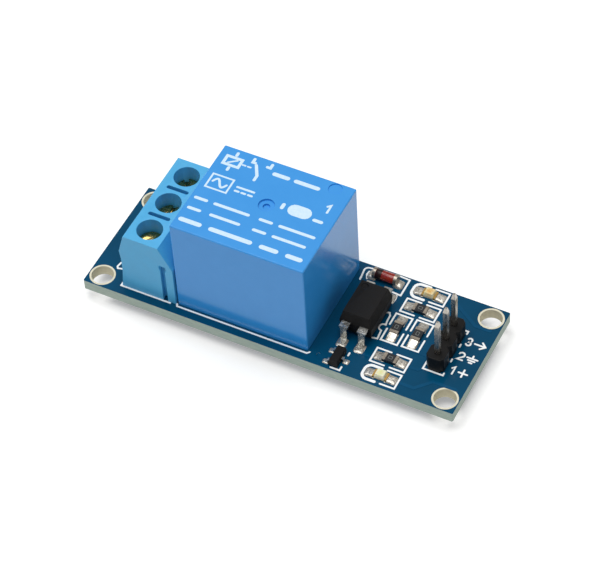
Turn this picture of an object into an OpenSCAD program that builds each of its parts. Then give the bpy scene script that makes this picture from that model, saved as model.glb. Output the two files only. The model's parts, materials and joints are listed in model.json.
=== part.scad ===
// Single relay module board.
//
// A small board that lets a weak signal switch a mains-rated contact. From left to right (along +X) it
// carries a three-way screw terminal block, a sealed relay with its coil, yoke, armature and contacts,
// an optocoupler with the few small parts that drive the coil, and a three-pin header.
//
// +X runs from the terminals to the header, +Y to the back, +Z up. The origin is under the middle of the
// board, at the level of the cut pin tips that the board stands on. All sizes are in millimetres.

/* [Board] */
// Width of the board
board_w = 18.2; // [17:0.1:26]
// Thickness of the laminate
board_t = 1.6; // [1.0:0.1:2.4]
// Radius of the board's corners
board_r = 0.2; // [0.1:0.1:1.5]
// Bore of the four mounting holes
mount_d = 3.0; // [2:0.1:3.6]
// From a mounting hole's centre to the two nearest edges
mount_inset = 1.9; // [1.9:0.1:4]
// How far the cut pins stand out below the board
pin_tail = 1.6; // [0.8:0.1:3]
// Bore of a plated through hole between the two copper layers
via_d = 0.5; // [0.3:0.1:0.8]

/* [Terminal block] */
// From the board's left edge to the block's wire side
terminal_inset = 5.2; // [4:0.1:8]
// Depth of the block from the wire side to the relay side
terminal_d = 8.0; // [7.6:0.1:12]
// Height of the block
terminal_h = 10.1; // [9.6:0.1:14]
// Distance between neighbouring terminals
terminal_pitch = 5.08; // [5:0.01:7.62]
// What the block is longer than three pitches
terminal_extra = 0.06; // [0:0.02:1]
// From the wire side to the screws' axes
screw_inset = 3.65; // [3.6:0.05:4.2]
// Bore that a screwdriver goes down
driver_d = 3.5; // [3.4:0.1:4]
// Diameter of a clamp screw's head
screw_head_d = 3.2; // [2.8:0.1:3.3]
// Height of a clamp screw's head
screw_head_h = 1.25; // [0.8:0.05:1.6]
// Thread diameter of a clamp screw
screw_d = 2.5; // [2:0.1:2.6]
// Height that a clamp cage rises when its screw is tightened
clamp_travel = 1.7; // [1:0.1:1.7]
// Width of a clamp cage across the wire
cage_w = 4.0; // [3.8:0.1:4.8]
// Length of a clamp cage along the wire
cage_l = 3.6; // [3:0.1:3.8]
// Thickness of a terminal's copper strip
strip_t = 0.6; // [0.4:0.1:0.8]
// Width of the strip inside the cage
strip_w = 2.6; // [2:0.1:2.6]
// Width of the strip where it is a solder pin
terminal_pin_w = 1.0; // [0.8:0.1:1.2]
// Width of a wire entry
entry_w = 3.8; // [3:0.1:4]
// Height of a wire entry
entry_h = 2.9; // [2:0.1:3.2]

/* [Relay] */
// Gap between the terminal block and the relay
relay_gap = 0.2; // [0.1:0.1:2]
// Length of the case
relay_l = 19.0; // [18.6:0.1:24]
// Width of the case
relay_w = 15.5; // [12.9:0.1:20]
// Height of the case
relay_h = 15.4; // [12:0.1:20]
// How far the relay sits behind the board's middle line
relay_y = 0.3; // [-1:0.1:1]
// Wall of the cover
cover_wall = 0.8; // [0.6:0.1:1]
// Radius of the cover's outer edges
cover_r = 0.2; // [0.1:0.05:0.6]
// Thickness of the base plate
relay_base_t = 1.8; // [1.2:0.1:2.4]
// From the case's header end to the common pin
common_inset = 2.4; // [2.3:0.1:2.8]
// From the common pin to the coil pins
coil_pin_step = 2.0; // [1.6:0.1:3]
// From the common pin to the two contact pins
contact_pin_step = 14.2; // [14:0.1:14.4]
// From the case's long side to the middle of the outer pins
side_pin_inset = 1.75; // [1.6:0.05:2]
// Thickness of the yoke's steel
yoke_t = 1.2; // [0.8:0.1:1.2]
// Diameter of the coil's core
core_d = 4.0; // [3:0.1:4.4]
// Outer diameter of the winding
winding_d = 10.6; // [8:0.1:10.8]
// Thickness of the armature
armature_t = 1.0; // [0.8:0.1:1.2]
// Angle that the armature swings through when the coil pulls it in
armature_angle = 2.2; // [1.6:0.1:2.4]
// Thickness of the contact spring
leaf_t = 0.2; // [0.1:0.05:0.25]
// Diameter of the contact rivets' heads
contact_d = 2.2; // [1.6:0.1:2.2]
// Height of a contact rivet's head
contact_t = 0.3; // [0.2:0.05:0.4]

/* [Small parts] */
// From the relay to the optocoupler
opto_gap = 2.4; // [1.5:0.1:4]
// Width of the optocoupler's body
opto_w = 4.6; // [4.4:0.1:6]
// Length of the optocoupler's body
opto_l = 6.5; // [6:0.1:8]
// Height of the optocoupler above the board
opto_h = 4.2; // [3.6:0.1:4.8]
// Distance between the optocoupler's leads
opto_pitch = 2.54; // [2.54:0.01:2.8]
// Distance over the optocoupler's leads
opto_span = 10.2; // [9.8:0.1:11]
// From the optocoupler's side to the first upright resistor
column_gap = 1.275; // [0.8:0.005:3]
// Distance between the two upright resistors
column_pitch = 2.95; // [2.2:0.05:5]
// From the second upright resistor to the header pins
header_gap = 4.3; // [3.3:0.1:8]
// Length of a chip resistor or chip LED
chip_l = 2.0; // [1.6:0.1:2.4]
// Width of a chip resistor or chip LED
chip_w = 1.25; // [0.8:0.05:1.6]
// Height of a chip resistor
resistor_h = 0.5; // [0.4:0.05:0.7]
// Height of a chip LED
led_h = 0.8; // [0.6:0.05:1.1]
// From a board edge to the LED beside it
led_inset = 1.65; // [1.2:0.05:3]
// Distance from the LEDs' rows to the next resistors' rows
row_pitch = 2.9; // [2.2:0.1:4]
// Length of the glass diode
diode_l = 3.5; // [3:0.1:4]
// Diameter of the glass diode
diode_d = 1.5; // [1.2:0.1:1.8]
// From the board's back edge to the diode
diode_inset = 1.65; // [1.2:0.05:3]
// Length of the transistor's body
transistor_l = 2.9; // [2.6:0.1:3.4]
// Width of the transistor's body
transistor_w = 1.3; // [1.2:0.1:1.7]
// Height of the transistor's body
transistor_h = 1.0; // [0.8:0.1:1.3]
// From the board's front edge to the transistor
transistor_inset = 2.0; // [1.8:0.1:3]

/* [Header] */
// From the header pins to the board's right edge
header_inset = 5.05; // [4:0.05:10]
// Distance between the header pins
header_pitch = 2.54; // [2.54:0.01:3]
// Height of the pin tips above the board
header_pin_h = 8.5; // [7:0.1:12]
// Width of the square pins
header_pin_w = 0.64; // [0.5:0.02:0.7]
// Width and height of the insulator
header_body = 2.5; // [2:0.1:2.54]

/* [Fits] */
// Gap between parts that are pushed together
fit = 0.05; // [0.02:0.01:0.1]
// Radial gap of a clamp screw in its cage
thread_fit = 0.03; // [0.02:0.01:0.08]
// Gap around a clamp cage in its chamber
cage_fit = 0.1; // [0.05:0.05:0.15]
// Gap left when the contacts or the armature are closed
contact_fit = 0.06; // [0.05:0.01:0.1]
// Gap under the closed armature
armature_fit = 0.03; // [0.02:0.01:0.06]
// Gap between a pin and the wall of its hole, filled with solder
hole_fit = 0.15; // [0.1:0.05:0.25]

/* [Hidden] */
$fn = 64;

BLUE_BOARD = "#0b4f7c";
BLUE_TERMINAL = "#4f9fc8";
BLUE_CASE = "#3f86cf";
BLACK = "#1c1c1f";
TINNED = "#c4c6c8";
BRASS = "#b79a4a";
STEEL = "#9a9da2";
COPPER = "#b4653a";
SILVER = "#dcdde0";
NATURAL = "#e8e2cf";
CLEAR_AMBER = "#e6a13a";

OVERCUT = 1;      // how far a cut runs past the face that it opens

// Levels
board_z = pin_tail;                 // underside of the board
top_z = board_z + board_t;          // upper side, where every part stands

// The parts in order from the left; the board is as long as they need
board_l = terminal_inset + terminal_d + relay_gap + relay_l + opto_gap + opto_w
    + column_gap + chip_w / 2 + column_pitch + header_gap + header_inset;
terminal_x = -board_l / 2 + terminal_inset;
relay_x0 = terminal_x + terminal_d + relay_gap;
relay_x1 = relay_x0 + relay_l;
opto_x = relay_x1 + opto_gap + opto_w / 2;
column_1_x = opto_x + opto_w / 2 + column_gap + chip_w / 2;
column_2_x = column_1_x + column_pitch;
header_x = column_2_x + header_gap;
chips_x = (column_1_x + column_2_x) / 2;
small_parts_y = 0.1;                // middle of the small parts' rows
led_back_y = board_w / 2 - led_inset + small_parts_y;
led_front_y = -board_w / 2 + led_inset + small_parts_y;
diode_x = opto_x - 0.65;
diode_y = board_w / 2 - diode_inset;
transistor_x = opto_x - 0.6;
transistor_y = -board_w / 2 + transistor_inset;

// Terminal block
terminal_l = 3 * terminal_pitch + terminal_extra;
screw_x = terminal_x + screw_inset;
cage_bottom_t = 0.7;
cage_top_t = 0.9;
cage_side_t = (cage_w - strip_w) / 2 - cage_fit;
cage_z = top_z + 0.5;
cage_h = cage_bottom_t + clamp_travel + strip_t + 2 * fit + cage_top_t;
strip_z = cage_z + cage_bottom_t + clamp_travel + fit;
strip_x1 = screw_x + cage_l / 2 + cage_fit + fit + strip_t;
chamber_roof_z = cage_z + cage_h + clamp_travel + fit;
screw_shelf_t = 0.6;
screw_seat_z = chamber_roof_z + screw_shelf_t;
screw_end_z = strip_z + strip_t + 2 * fit;
screw_slot_w = 0.6;
screw_slot_depth = 0.7;
entry_z = cage_z + cage_bottom_t - 0.2;
entry_bevel = 0.5;
groove_l = 3.2;                     // grooves in the top between terminals
groove_w = 0.55;
groove_depth = 2.4;
rib_x = terminal_x + terminal_d - 1.5;   // dovetail that joins one block to the next
rib_w = 0.8;
rib_depth = 0.7;
rib_h = 6.3;

// Relay
relay_x = (relay_x0 + relay_x1) / 2;
common_x = relay_x1 - common_inset;
coil_pin_x = common_x - coil_pin_step;
contact_x = common_x - contact_pin_step;
side_pin_y = relay_w / 2 - side_pin_inset;
relay_pin_t = 0.5;                  // flat contact pins
relay_pin_w = 1.0;
coil_pin_w = 0.7;                   // square coil pins
base_gap = 0.3;                     // the base plate is set up into the cover by this
base_z = top_z + base_gap;
base_top_z = base_z + relay_base_t;
yoke_w = 2 * (side_pin_y - relay_pin_w / 2 - 1);   // 1 mm clear of the side pins
yoke_x1 = common_x + yoke_t / 2 + 0.1;
flange_t = 0.8;
flange_gap = 0.3;
pole_t = 0.5;
pole_d = core_d + 2.8;
spigot_d = core_d - 1.0;
tube_t = 0.85;
flange_l = winding_d + 0.6;
coil_x = yoke_x1 - yoke_t - flange_gap - flange_l / 2;
headroom = 1.1;                     // free height over the upper contact strip
contact_strip_t = 0.4;
contact_strip_w = 2.2;
lever = yoke_x1 - contact_x;        // from the armature's edge to the moving contact
closed_strip_z = top_z + relay_h - cover_wall - headroom - contact_strip_t;
closed_face_z = closed_strip_z - contact_t;
// level of the pole face, worked down from the upper contact through the tilted stack
pole_z = closed_face_z - contact_fit - lever * sin(armature_angle)
    - (contact_t + leaf_t + armature_t) * cos(armature_angle) - armature_fit;
hinge_z = pole_z + armature_fit;
flange_top_z = pole_z - pole_t;
bobbin_z = base_top_z + yoke_t;
open_face_z = hinge_z + armature_t - contact_t - contact_fit;
open_strip_z = open_face_z - contact_t - contact_strip_t;
armature_l = yoke_x1 - coil_x + flange_l / 2 - 0.4;
leaf_w = 6;
leaf_tip_w = 3;
leaf_leg_l = 5.5;
rivet_d = 1.0;
rivet_head_d = 1.8;
rivet_head_t = 0.3;
rivet_step = 3;                     // distance between the two rivets
contact_shank_d = 1.2;

// Small parts
seat_t = 0.05;                      // pad and solder under a surface-mounted part
pad_w = 1.45;
pad_in = chip_l / 2 - 0.45;         // inner edge of a chip's pads
pad_out = chip_l / 2 + 1.35;        // outer edge
pad_margin = 0.3;                   // how far the optocoupler's pads pass its feet lengthways
opto_pad_w = 1.4;
transistor_pad = [0.9, 0.8];
diode_pad_l = 1.3;
diode_pad_out = 0.15;               // middle of a diode's solder, past the end of its cap
diode_solder_h = 0.3;
cap_l = 0.4;                        // metal end of a chip resistor
cap_t = 0.04;
gate_d = 2.2;                       // marks in the top of the relay's cover
gate_depth = 0.35 * cover_wall;
gate_pit_d = 1.0;
gate_pit_depth = 0.7 * cover_wall;
ejector_d = 1.9;
ejector_depth = 0.2 * cover_wall;
opto_lift = 0.7;                    // free height under the optocoupler
opto_body_h = opto_h - opto_lift;
opto_z = top_z + opto_lift;
opto_draft = 0.4;                   // how much the optocoupler's sides lean in at the top
opto_parting = 1.85;                // height of its parting line, where the leads come out
opto_y = relay_y - 0.05;
lead_t = 0.25;
opto_shoulder_w = 1.2;
opto_foot_w = 0.9;
opto_foot_l = 1.0;
opto_root = 0.6;                    // how deep a lead starts inside the body
transistor_draft = 0.08;
transistor_parting = 0.45 * transistor_h;
transistor_z = top_z + 0.1;
transistor_lead_t = 0.12;
transistor_lead_w = 0.45;
transistor_root = 0.25;             // how deep a lead starts inside the body
transistor_span = 2.6;
transistor_pitch = 1.9;
diode_cap_l = 0.45;
diode_glass_d = diode_d - 0.1;
diode_slug_d = 0.9;
diode_z = top_z + seat_t + diode_d / 2;

// Header
header_chamfer = 0.5;
header_tip_l = 0.8;
header_tip_w = 0.3;

// Bores in the board
terminal_hole_d = norm([terminal_pin_w, strip_t]) + 2 * hole_fit;
relay_hole_d = norm([relay_pin_w, relay_pin_t]) + 2 * hole_fit;
coil_hole_d = coil_pin_w * sqrt(2) + 2 * hole_fit;
header_hole_d = header_pin_w * sqrt(2) + 2 * hole_fit;
solder_rim = 0.5;                   // how far solder spreads past a hole below the board
solder_h = 1.0;                     // height of the solder cone

terminal_ys = [for (i = [-1:1]) i * terminal_pitch];
header_ys = [for (i = [-1:1]) i * header_pitch];

// Every pin that goes through the board: [x, y, size along X, size along Y, hole]
through_pins = concat(
    [for (y = terminal_ys) [strip_x1 - strip_t / 2, y, strip_t, terminal_pin_w, terminal_hole_d]],
    [for (s = [-1, 1]) [contact_x, relay_y + s * side_pin_y, relay_pin_t, relay_pin_w, relay_hole_d]],
    [for (s = [-1, 1]) [coil_pin_x, relay_y + s * side_pin_y, coil_pin_w, coil_pin_w, coil_hole_d]],
    [[common_x, relay_y, relay_pin_t, relay_pin_w, relay_hole_d]],
    [for (y = header_ys) [header_x, y, header_pin_w, header_pin_w, header_hole_d]]
);

// Resistors and LEDs: [x, y, turn]
resistors = [
    [chips_x, led_back_y - row_pitch, 0],
    [column_1_x, small_parts_y + 0.4, 90],
    [column_2_x, small_parts_y + 0.5, 90],
    [chips_x, led_front_y + row_pitch, 0]
];
leds = [[chips_x, led_back_y, 0], [chips_x, led_front_y, 180]];

vias = [[column_1_x - 1.15, small_parts_y + 2.95], [relay_x1 + 1.5, transistor_y - 0.3]];

// ---- Shapes that repeat ----

// A rectangle with rounded corners, about the origin
module round_rect(l, w, r) {
    square([l - 2 * r, w], center = true);
    square([l, w - 2 * r], center = true);
    for (sx = [-1, 1], sy = [-1, 1]) translate([sx * (l / 2 - r), sy * (w / 2 - r)]) circle(r = r);
}

// A block on the XY plane whose upright and upper edges are rounded
module round_block(l, w, h, r) {
    translate([-l / 2 + r, -w / 2, 0]) cube([l - 2 * r, w, h - r]);
    translate([-l / 2, -w / 2 + r, 0]) cube([l, w - 2 * r, h - r]);
    translate([-l / 2 + r, -w / 2 + r, 0]) cube([l - 2 * r, w - 2 * r, h]);
    for (sx = [-1, 1], sy = [-1, 1]) translate([sx * (l / 2 - r), sy * (w / 2 - r), 0]) {
        cylinder(r = r, h = h - r);
        translate([0, 0, h - r]) sphere(r = r);
    }
    for (sy = [-1, 1]) translate([-l / 2 + r, sy * (w / 2 - r), h - r])
        rotate([0, 90, 0]) cylinder(r = r, h = l - 2 * r);
    for (sx = [-1, 1]) translate([sx * (l / 2 - r), -w / 2 + r, h - r])
        rotate([-90, 0, 0]) cylinder(r = r, h = w - 2 * r);
}

// An outline in X and Z, pulled out along Y to both sides of the origin
module slab_xz(points, w) {
    rotate([90, 0, 0]) linear_extrude(height = w, center = true) polygon(points);
}

// A moulded body: widest at the parting line, leaning in above and below it
module drafted_block(l, w, h, parting, lean) {
    function side(s) = [
        [-s / 2 + lean * parting / h, 0], [-s / 2, parting], [-s / 2 + lean, h],
        [s / 2 - lean, h], [s / 2, parting], [s / 2 - lean * parting / h, 0]
    ];
    intersection() {
        slab_xz(side(l), w + OVERCUT);
        rotate([0, 0, 90]) slab_xz(side(w), l + OVERCUT);
    }
}

// A block centred in X and Y, from one level to another
module post(x, y, sx, sy, z0, z1) {
    translate([x - sx / 2, y - sy / 2, z0]) cube([sx, sy, z1 - z0]);
}

// Turns what belongs to the armature up to its released position
module released() {
    translate([yoke_x1, relay_y, hinge_z]) rotate([0, armature_angle, 0])
        translate([-yoke_x1, -relay_y, -hinge_z]) children();
}

// ---- Board ----

module pcb() {
    color(BLUE_BOARD) translate([0, 0, board_z]) difference() {
        linear_extrude(height = board_t) round_rect(board_l, board_w, board_r);
        for (sx = [-1, 1], sy = [-1, 1])
            translate([sx * (board_l / 2 - mount_inset), sy * (board_w / 2 - mount_inset), -OVERCUT])
                cylinder(d = mount_d, h = board_t + 2 * OVERCUT);
        for (p = through_pins)
            translate([p[0], p[1], -OVERCUT]) cylinder(d = p[4], h = board_t + 2 * OVERCUT);
        for (v = vias)
            translate([v[0], v[1], -OVERCUT]) cylinder(d = via_d, h = board_t + 2 * OVERCUT);
    }
}

// Solder fills each pin's hole and stands as a cone around its tail
module solder_joints() {
    color(TINNED) for (p = through_pins) difference() {
        union() {
            translate([p[0], p[1], board_z]) cylinder(d = p[4], h = board_t);
            translate([p[0], p[1], board_z - solder_h])
                cylinder(d1 = norm([p[2], p[3]]) + 0.1, d2 = p[4] + 2 * solder_rim, h = solder_h);
        }
        post(p[0], p[1], p[2], p[3], -OVERCUT, top_z + OVERCUT);
    }
}

// ---- Terminal block ----

module terminal_housing() {
    // end outline: a slightly waisted wire side and a long slope on the relay side
    outline = [
        [0, 0], [0.3, 3], [0.3, 5.4], [0.12, 6.9], [0.5, 8.3], [1, terminal_h],
        [terminal_d - 1.9, terminal_h], [terminal_d, terminal_h - 3.6], [terminal_d, 0]
    ];
    color(BLUE_TERMINAL) difference() {
        union() {
            translate([terminal_x, 0, top_z]) slab_xz(outline, terminal_l);
            dovetail(terminal_l / 2, 0);
        }
        dovetail(-terminal_l / 2, fit);
        // the slope over the dovetail's slot
        translate([rib_x, -terminal_l / 2, top_z + rib_h]) rotate([45, 0, 0])
            cube([rib_w + 0.2, 0.7, 0.7], center = true);
        for (y = terminal_ys) {
            chamber(y);
            entry(y);
            translate([screw_x, y, screw_seat_z]) cylinder(d = driver_d, h = terminal_h);
            translate([screw_x, y, chamber_roof_z - OVERCUT])
                cylinder(d = screw_d + 2 * fit, h = screw_shelf_t + 2 * OVERCUT);
        }
        for (y = [-0.5, 0.5]) translate([screw_x, y * terminal_pitch, top_z + terminal_h - groove_depth])
            linear_extrude(height = groove_depth + OVERCUT)
                round_rect(groove_l, groove_w, groove_w / 2 - 0.01);
    }
}

// Rib or slot that joins one block to the next: narrow at the block's face, wide at its far side
module dovetail(y, gap) {
    far = rib_w / 2 + gap;
    near = far - 0.1;
    translate([rib_x, y, top_z]) linear_extrude(height = rib_h) polygon([
        [-near, -OVERCUT], [near, -OVERCUT], [near, 0],
        [far, rib_depth + gap], [-far, rib_depth + gap], [-near, 0]
    ]);
}

// Chamber of one clamp: the cage's shaft and the slot of the strip behind it
module chamber(y) {
    post(screw_x, y, cage_l + 2 * cage_fit, cage_w + 2 * cage_fit, top_z - OVERCUT, chamber_roof_z);
    translate([screw_x, y - strip_w / 2 - fit, top_z - OVERCUT])
        cube([strip_x1 + fit - screw_x, strip_w + 2 * fit, strip_z + strip_t + fit - top_z + OVERCUT]);
}

// Wire entry: a square throat that opens out at the wire side
module entry(y) {
    z0 = entry_z - top_z;
    flare = entry_bevel;
    post(screw_x - cage_l / 2 - screw_inset / 2, y, screw_inset, entry_w, entry_z, entry_z + entry_h);
    translate([terminal_x, y, top_z]) slab_xz(
        [[-OVERCUT, z0 - flare], [0.3, z0 - flare], [0.9, z0], [0.9, z0 + entry_h],
         [0.3, z0 + entry_h + flare], [-OVERCUT, z0 + entry_h + flare]], entry_w + 0.3);
}

module clamp_screw(i) {
    color(BRASS) translate([screw_x, terminal_ys[i - 1], 0]) difference() {
        translate([0, 0, screw_seat_z]) rotate_extrude() polygon([
            [0, screw_end_z - screw_seat_z], [screw_d / 2 - 0.2, screw_end_z - screw_seat_z],
            [screw_d / 2, screw_end_z - screw_seat_z + 0.2], [screw_d / 2, 0], [screw_head_d / 2, 0],
            [screw_head_d / 2, screw_head_h - 0.2], [screw_head_d / 2 - 0.2, screw_head_h], [0, screw_head_h]
        ]);
        translate([0, 0, screw_seat_z + screw_head_h]) rotate([0, 0, 20 + 35 * i])
            cube([screw_head_d + OVERCUT, screw_slot_w, 2 * screw_slot_depth], center = true);
    }
}

// A cage is a square ring round the strip; the screw's thread draws it up
module clamp_cage(i) {
    y = terminal_ys[i - 1];
    color(BRASS) difference() {
        post(screw_x, y, cage_l, cage_w, cage_z, cage_z + cage_h);
        post(screw_x, y, cage_l + 2 * OVERCUT, cage_w - 2 * cage_side_t,
            cage_z + cage_bottom_t, cage_z + cage_h - cage_top_t);
        translate([screw_x, y, cage_z + cage_h - cage_top_t - OVERCUT])
            cylinder(d = screw_d + 2 * thread_fit, h = cage_top_t + 2 * OVERCUT);
    }
}

module terminal_pin(i) {
    y = terminal_ys[i - 1];
    tab_x0 = screw_x - cage_l / 2 + 0.2;
    color(TINNED) {
        translate([tab_x0, y - strip_w / 2, strip_z]) cube([strip_x1 - tab_x0, strip_w, strip_t]);
        post(strip_x1 - strip_t / 2, y, strip_t, strip_w, top_z + 0.2, strip_z + strip_t / 2);
        post(strip_x1 - strip_t / 2, y, strip_t, terminal_pin_w, 0, strip_z);
    }
}

// ---- Relay ----

module relay_cover() {
    inner_l = relay_l - 2 * cover_wall;
    inner_w = relay_w - 2 * cover_wall;
    color(BLUE_CASE) translate([relay_x, relay_y, top_z]) {
        difference() {
            round_block(relay_l, relay_w, relay_h, cover_r);
            translate([-inner_l / 2, -inner_w / 2, -OVERCUT])
                cube([inner_l, inner_w, relay_h - cover_wall + OVERCUT]);
            // moulding gate: a dish with a deeper pit where the runner broke off
            translate([0.2, 0.5, relay_h - gate_depth]) cylinder(d = gate_d, h = gate_depth + OVERCUT);
            translate([0.2, 0.5, relay_h - gate_pit_depth])
                cylinder(d = gate_pit_d, h = gate_pit_depth + OVERCUT);
            // sunk mark of the pin that pushes the cover out of its mould
            translate([relay_l / 2 - 2.5, relay_w / 2 - 1.15, relay_h - ejector_depth])
                cylinder(d = ejector_d, h = ejector_depth + OVERCUT);
        }
    }
}

module relay_base() {
    l = relay_l - 2 * cover_wall - 2 * fit;
    w = relay_w - 2 * cover_wall - 2 * fit;
    color(BLUE_CASE) difference() {
        post(relay_x, relay_y, l, w, base_z, base_top_z);
        for (s = [-1, 1]) {
            post(contact_x, relay_y + s * side_pin_y, relay_pin_t, relay_pin_w, top_z, base_top_z + OVERCUT);
            post(coil_pin_x, relay_y + s * side_pin_y, coil_pin_w, coil_pin_w, top_z, base_top_z + OVERCUT);
        }
        post(common_x, relay_y, relay_pin_t, relay_pin_w, top_z, base_top_z + OVERCUT);
    }
}

module coil_bobbin() {
    lower_w = 2 * side_pin_y + 1.2;
    color(NATURAL) difference() {
        union() {
            post(coil_x, relay_y, flange_l, lower_w, bobbin_z, bobbin_z + flange_t);
            post((coil_x + flange_l / 2 + coil_pin_x) / 2, relay_y, coil_x + flange_l / 2 - coil_pin_x,
                lower_w, bobbin_z, bobbin_z + flange_t);
            post(coil_x, relay_y, flange_l, flange_l, flange_top_z - flange_t, flange_top_z);
            translate([coil_x, relay_y, bobbin_z])
                cylinder(d = core_d + 2 * tube_t, h = flange_top_z - bobbin_z);
        }
        translate([coil_x, relay_y, bobbin_z - OVERCUT])
            cylinder(d = core_d + 2 * fit, h = flange_top_z - bobbin_z + 2 * OVERCUT);
        for (s = [-1, 1]) post(coil_pin_x, relay_y + s * side_pin_y, coil_pin_w, coil_pin_w,
            bobbin_z - OVERCUT, bobbin_z + flange_t + OVERCUT);
    }
}

module coil_winding() {
    h = flange_top_z - bobbin_z - 2 * flange_t;
    color(COPPER) translate([coil_x, relay_y, bobbin_z + flange_t]) difference() {
        cylinder(d = winding_d, h = h);
        translate([0, 0, -OVERCUT]) cylinder(d = core_d + 2 * tube_t, h = h + 2 * OVERCUT);
    }
}

// The core is riveted into the yoke's foot and ends in a wider pole
module coil_core() {
    color(STEEL) translate([coil_x, relay_y, 0]) {
        translate([0, 0, base_top_z]) cylinder(d = spigot_d, h = yoke_t);
        translate([0, 0, bobbin_z]) cylinder(d = core_d, h = flange_top_z - bobbin_z);
        translate([0, 0, flange_top_z]) cylinder(d = pole_d, h = pole_t);
    }
}

// An angle of soft steel: the foot under the coil, the leg beside it
module relay_yoke() {
    foot_x0 = coil_x - pole_d / 2;
    color(STEEL) difference() {
        union() {
            translate([foot_x0, relay_y - yoke_w / 2, base_top_z]) cube([yoke_x1 - foot_x0, yoke_w, yoke_t]);
            translate([yoke_x1 - yoke_t, relay_y - yoke_w / 2, base_top_z])
                cube([yoke_t, yoke_w, pole_z - base_top_z]);
        }
        translate([coil_x, relay_y, base_top_z - OVERCUT]) cylinder(d = spigot_d, h = yoke_t + 2 * OVERCUT);
    }
}

module armature() {
    color(STEEL) released() difference() {
        translate([yoke_x1 - armature_l, relay_y - yoke_w / 2, hinge_z])
            cube([armature_l, yoke_w, armature_t]);
        rivet_places() translate([0, 0, hinge_z - OVERCUT])
            cylinder(d = rivet_d, h = armature_t + 2 * OVERCUT);
    }
}

module rivet_places() {
    for (s = [-0.5, 0.5]) translate([coil_x + s * rivet_step, relay_y, 0]) children();
}

// One folded leaf: the arm lies on the armature and carries the moving contact,
// and the leg hangs down the yoke's outer side
module contact_spring() {
    tip_x = contact_x - contact_d / 2 + 0.1;
    leaf_z = hinge_z + armature_t;
    leg_x0 = yoke_x1 + fit;
    color(BRASS) {
        released() difference() {
            union() {
                translate([coil_x - flange_l / 2, relay_y - leaf_w / 2, leaf_z])
                    cube([leg_x0 + leaf_t / 2 - coil_x + flange_l / 2, leaf_w, leaf_t]);
                translate([tip_x, relay_y - leaf_tip_w / 2, leaf_z])
                    cube([coil_x - flange_l / 2 - tip_x + leaf_t, leaf_tip_w, leaf_t]);
            }
            rivet_places() translate([0, 0, leaf_z - OVERCUT])
                cylinder(d = rivet_d, h = leaf_t + 2 * OVERCUT);
            translate([contact_x, relay_y, leaf_z - OVERCUT])
                cylinder(d = contact_shank_d, h = leaf_t + 2 * OVERCUT);
        }
        translate([leg_x0, relay_y - leaf_w / 2, pole_z - leaf_leg_l])
            cube([leaf_t, leaf_w, leaf_leg_l + armature_fit + armature_t + leaf_t / 2]);
    }
}

module spring_rivets() {
    color(STEEL) released() rivet_places() {
        translate([0, 0, hinge_z]) cylinder(d = rivet_d, h = armature_t + leaf_t);
        translate([0, 0, hinge_z + armature_t + leaf_t]) cylinder(d = rivet_head_d, h = rivet_head_t);
    }
}

module moving_contact() {
    leaf_z = hinge_z + armature_t;
    color(SILVER) released() translate([contact_x, relay_y, leaf_z]) {
        translate([0, 0, -contact_t]) cylinder(d = contact_d, h = contact_t);
        cylinder(d = contact_shank_d, h = leaf_t);
        translate([0, 0, leaf_t]) cylinder(d = contact_d, h = contact_t);
    }
}

// A fixed contact's strip: solder pin, riser and the arm that reaches the middle
module contact_strip(side, level) {
    outer = side_pin_y + relay_pin_w / 2;
    inner = contact_strip_w / 2;
    color(TINNED) {
        post(contact_x, relay_y + side * side_pin_y, relay_pin_t, relay_pin_w, 0, level + contact_strip_t);
        post(contact_x, relay_y + side * (outer - inner) / 2, contact_strip_w, outer + inner,
            level, level + contact_strip_t);
    }
}

module closed_terminal() { contact_strip(1, closed_strip_z); }
module open_terminal() { contact_strip(-1, open_strip_z); }

module closed_contact() {
    color(SILVER) translate([contact_x, relay_y, closed_face_z]) cylinder(d = contact_d, h = contact_t);
}

module open_contact() {
    color(SILVER) translate([contact_x, relay_y, open_face_z - contact_t])
        cylinder(d = contact_d, h = contact_t);
}

module common_pin() {
    color(TINNED) post(common_x, relay_y, relay_pin_t, relay_pin_w, 0, base_top_z);
}

module coil_pin(side) {
    color(TINNED) post(coil_pin_x, relay_y + side * side_pin_y, coil_pin_w, coil_pin_w, 0,
        bobbin_z + flange_t + 1);
}

// ---- Optocoupler ----

module opto_body() {
    color(BLACK) translate([opto_x, opto_y, opto_z]) difference() {
        drafted_block(opto_w, opto_l, opto_body_h, opto_parting, opto_draft);
        // dimple beside the first lead
        translate([-opto_w / 2 + 1.2, opto_l / 2 - 1.2, opto_body_h - 0.15]) cylinder(d = 0.9, h = OVERCUT);
        opto_lead_roots(opto_parting);
    }
}

module opto_lead_roots(z) {
    for (sx = [-0.5, 0.5], sy = [-1, 1])
        post(sx * opto_pitch, sy * opto_l / 2, opto_shoulder_w, 2 * opto_root,
            z - lead_t / 2, z + lead_t / 2);
}

// Gull-wing lead: shoulder, drop and foot
module opto_lead(sx, sy) {
    drop_y = opto_span / 2 - opto_foot_l;
    shoulder_z = opto_z + opto_parting - lead_t / 2;
    foot_z = top_z + seat_t;
    color(TINNED) translate([opto_x + sx * opto_pitch / 2, opto_y, 0])
        mirror([0, sy < 0 ? 1 : 0, 0]) {
            translate([-opto_shoulder_w / 2, opto_l / 2 - opto_root, shoulder_z])
                cube([opto_shoulder_w, drop_y + lead_t / 2 - opto_l / 2 + opto_root, lead_t]);
            translate([-opto_foot_w / 2, drop_y - lead_t / 2, foot_z])
                cube([opto_foot_w, lead_t, shoulder_z - foot_z + lead_t / 2]);
            translate([-opto_foot_w / 2, drop_y - lead_t / 2, foot_z])
                cube([opto_foot_w, opto_foot_l + lead_t / 2, lead_t]);
        }
}

// ---- Transistor ----

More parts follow.
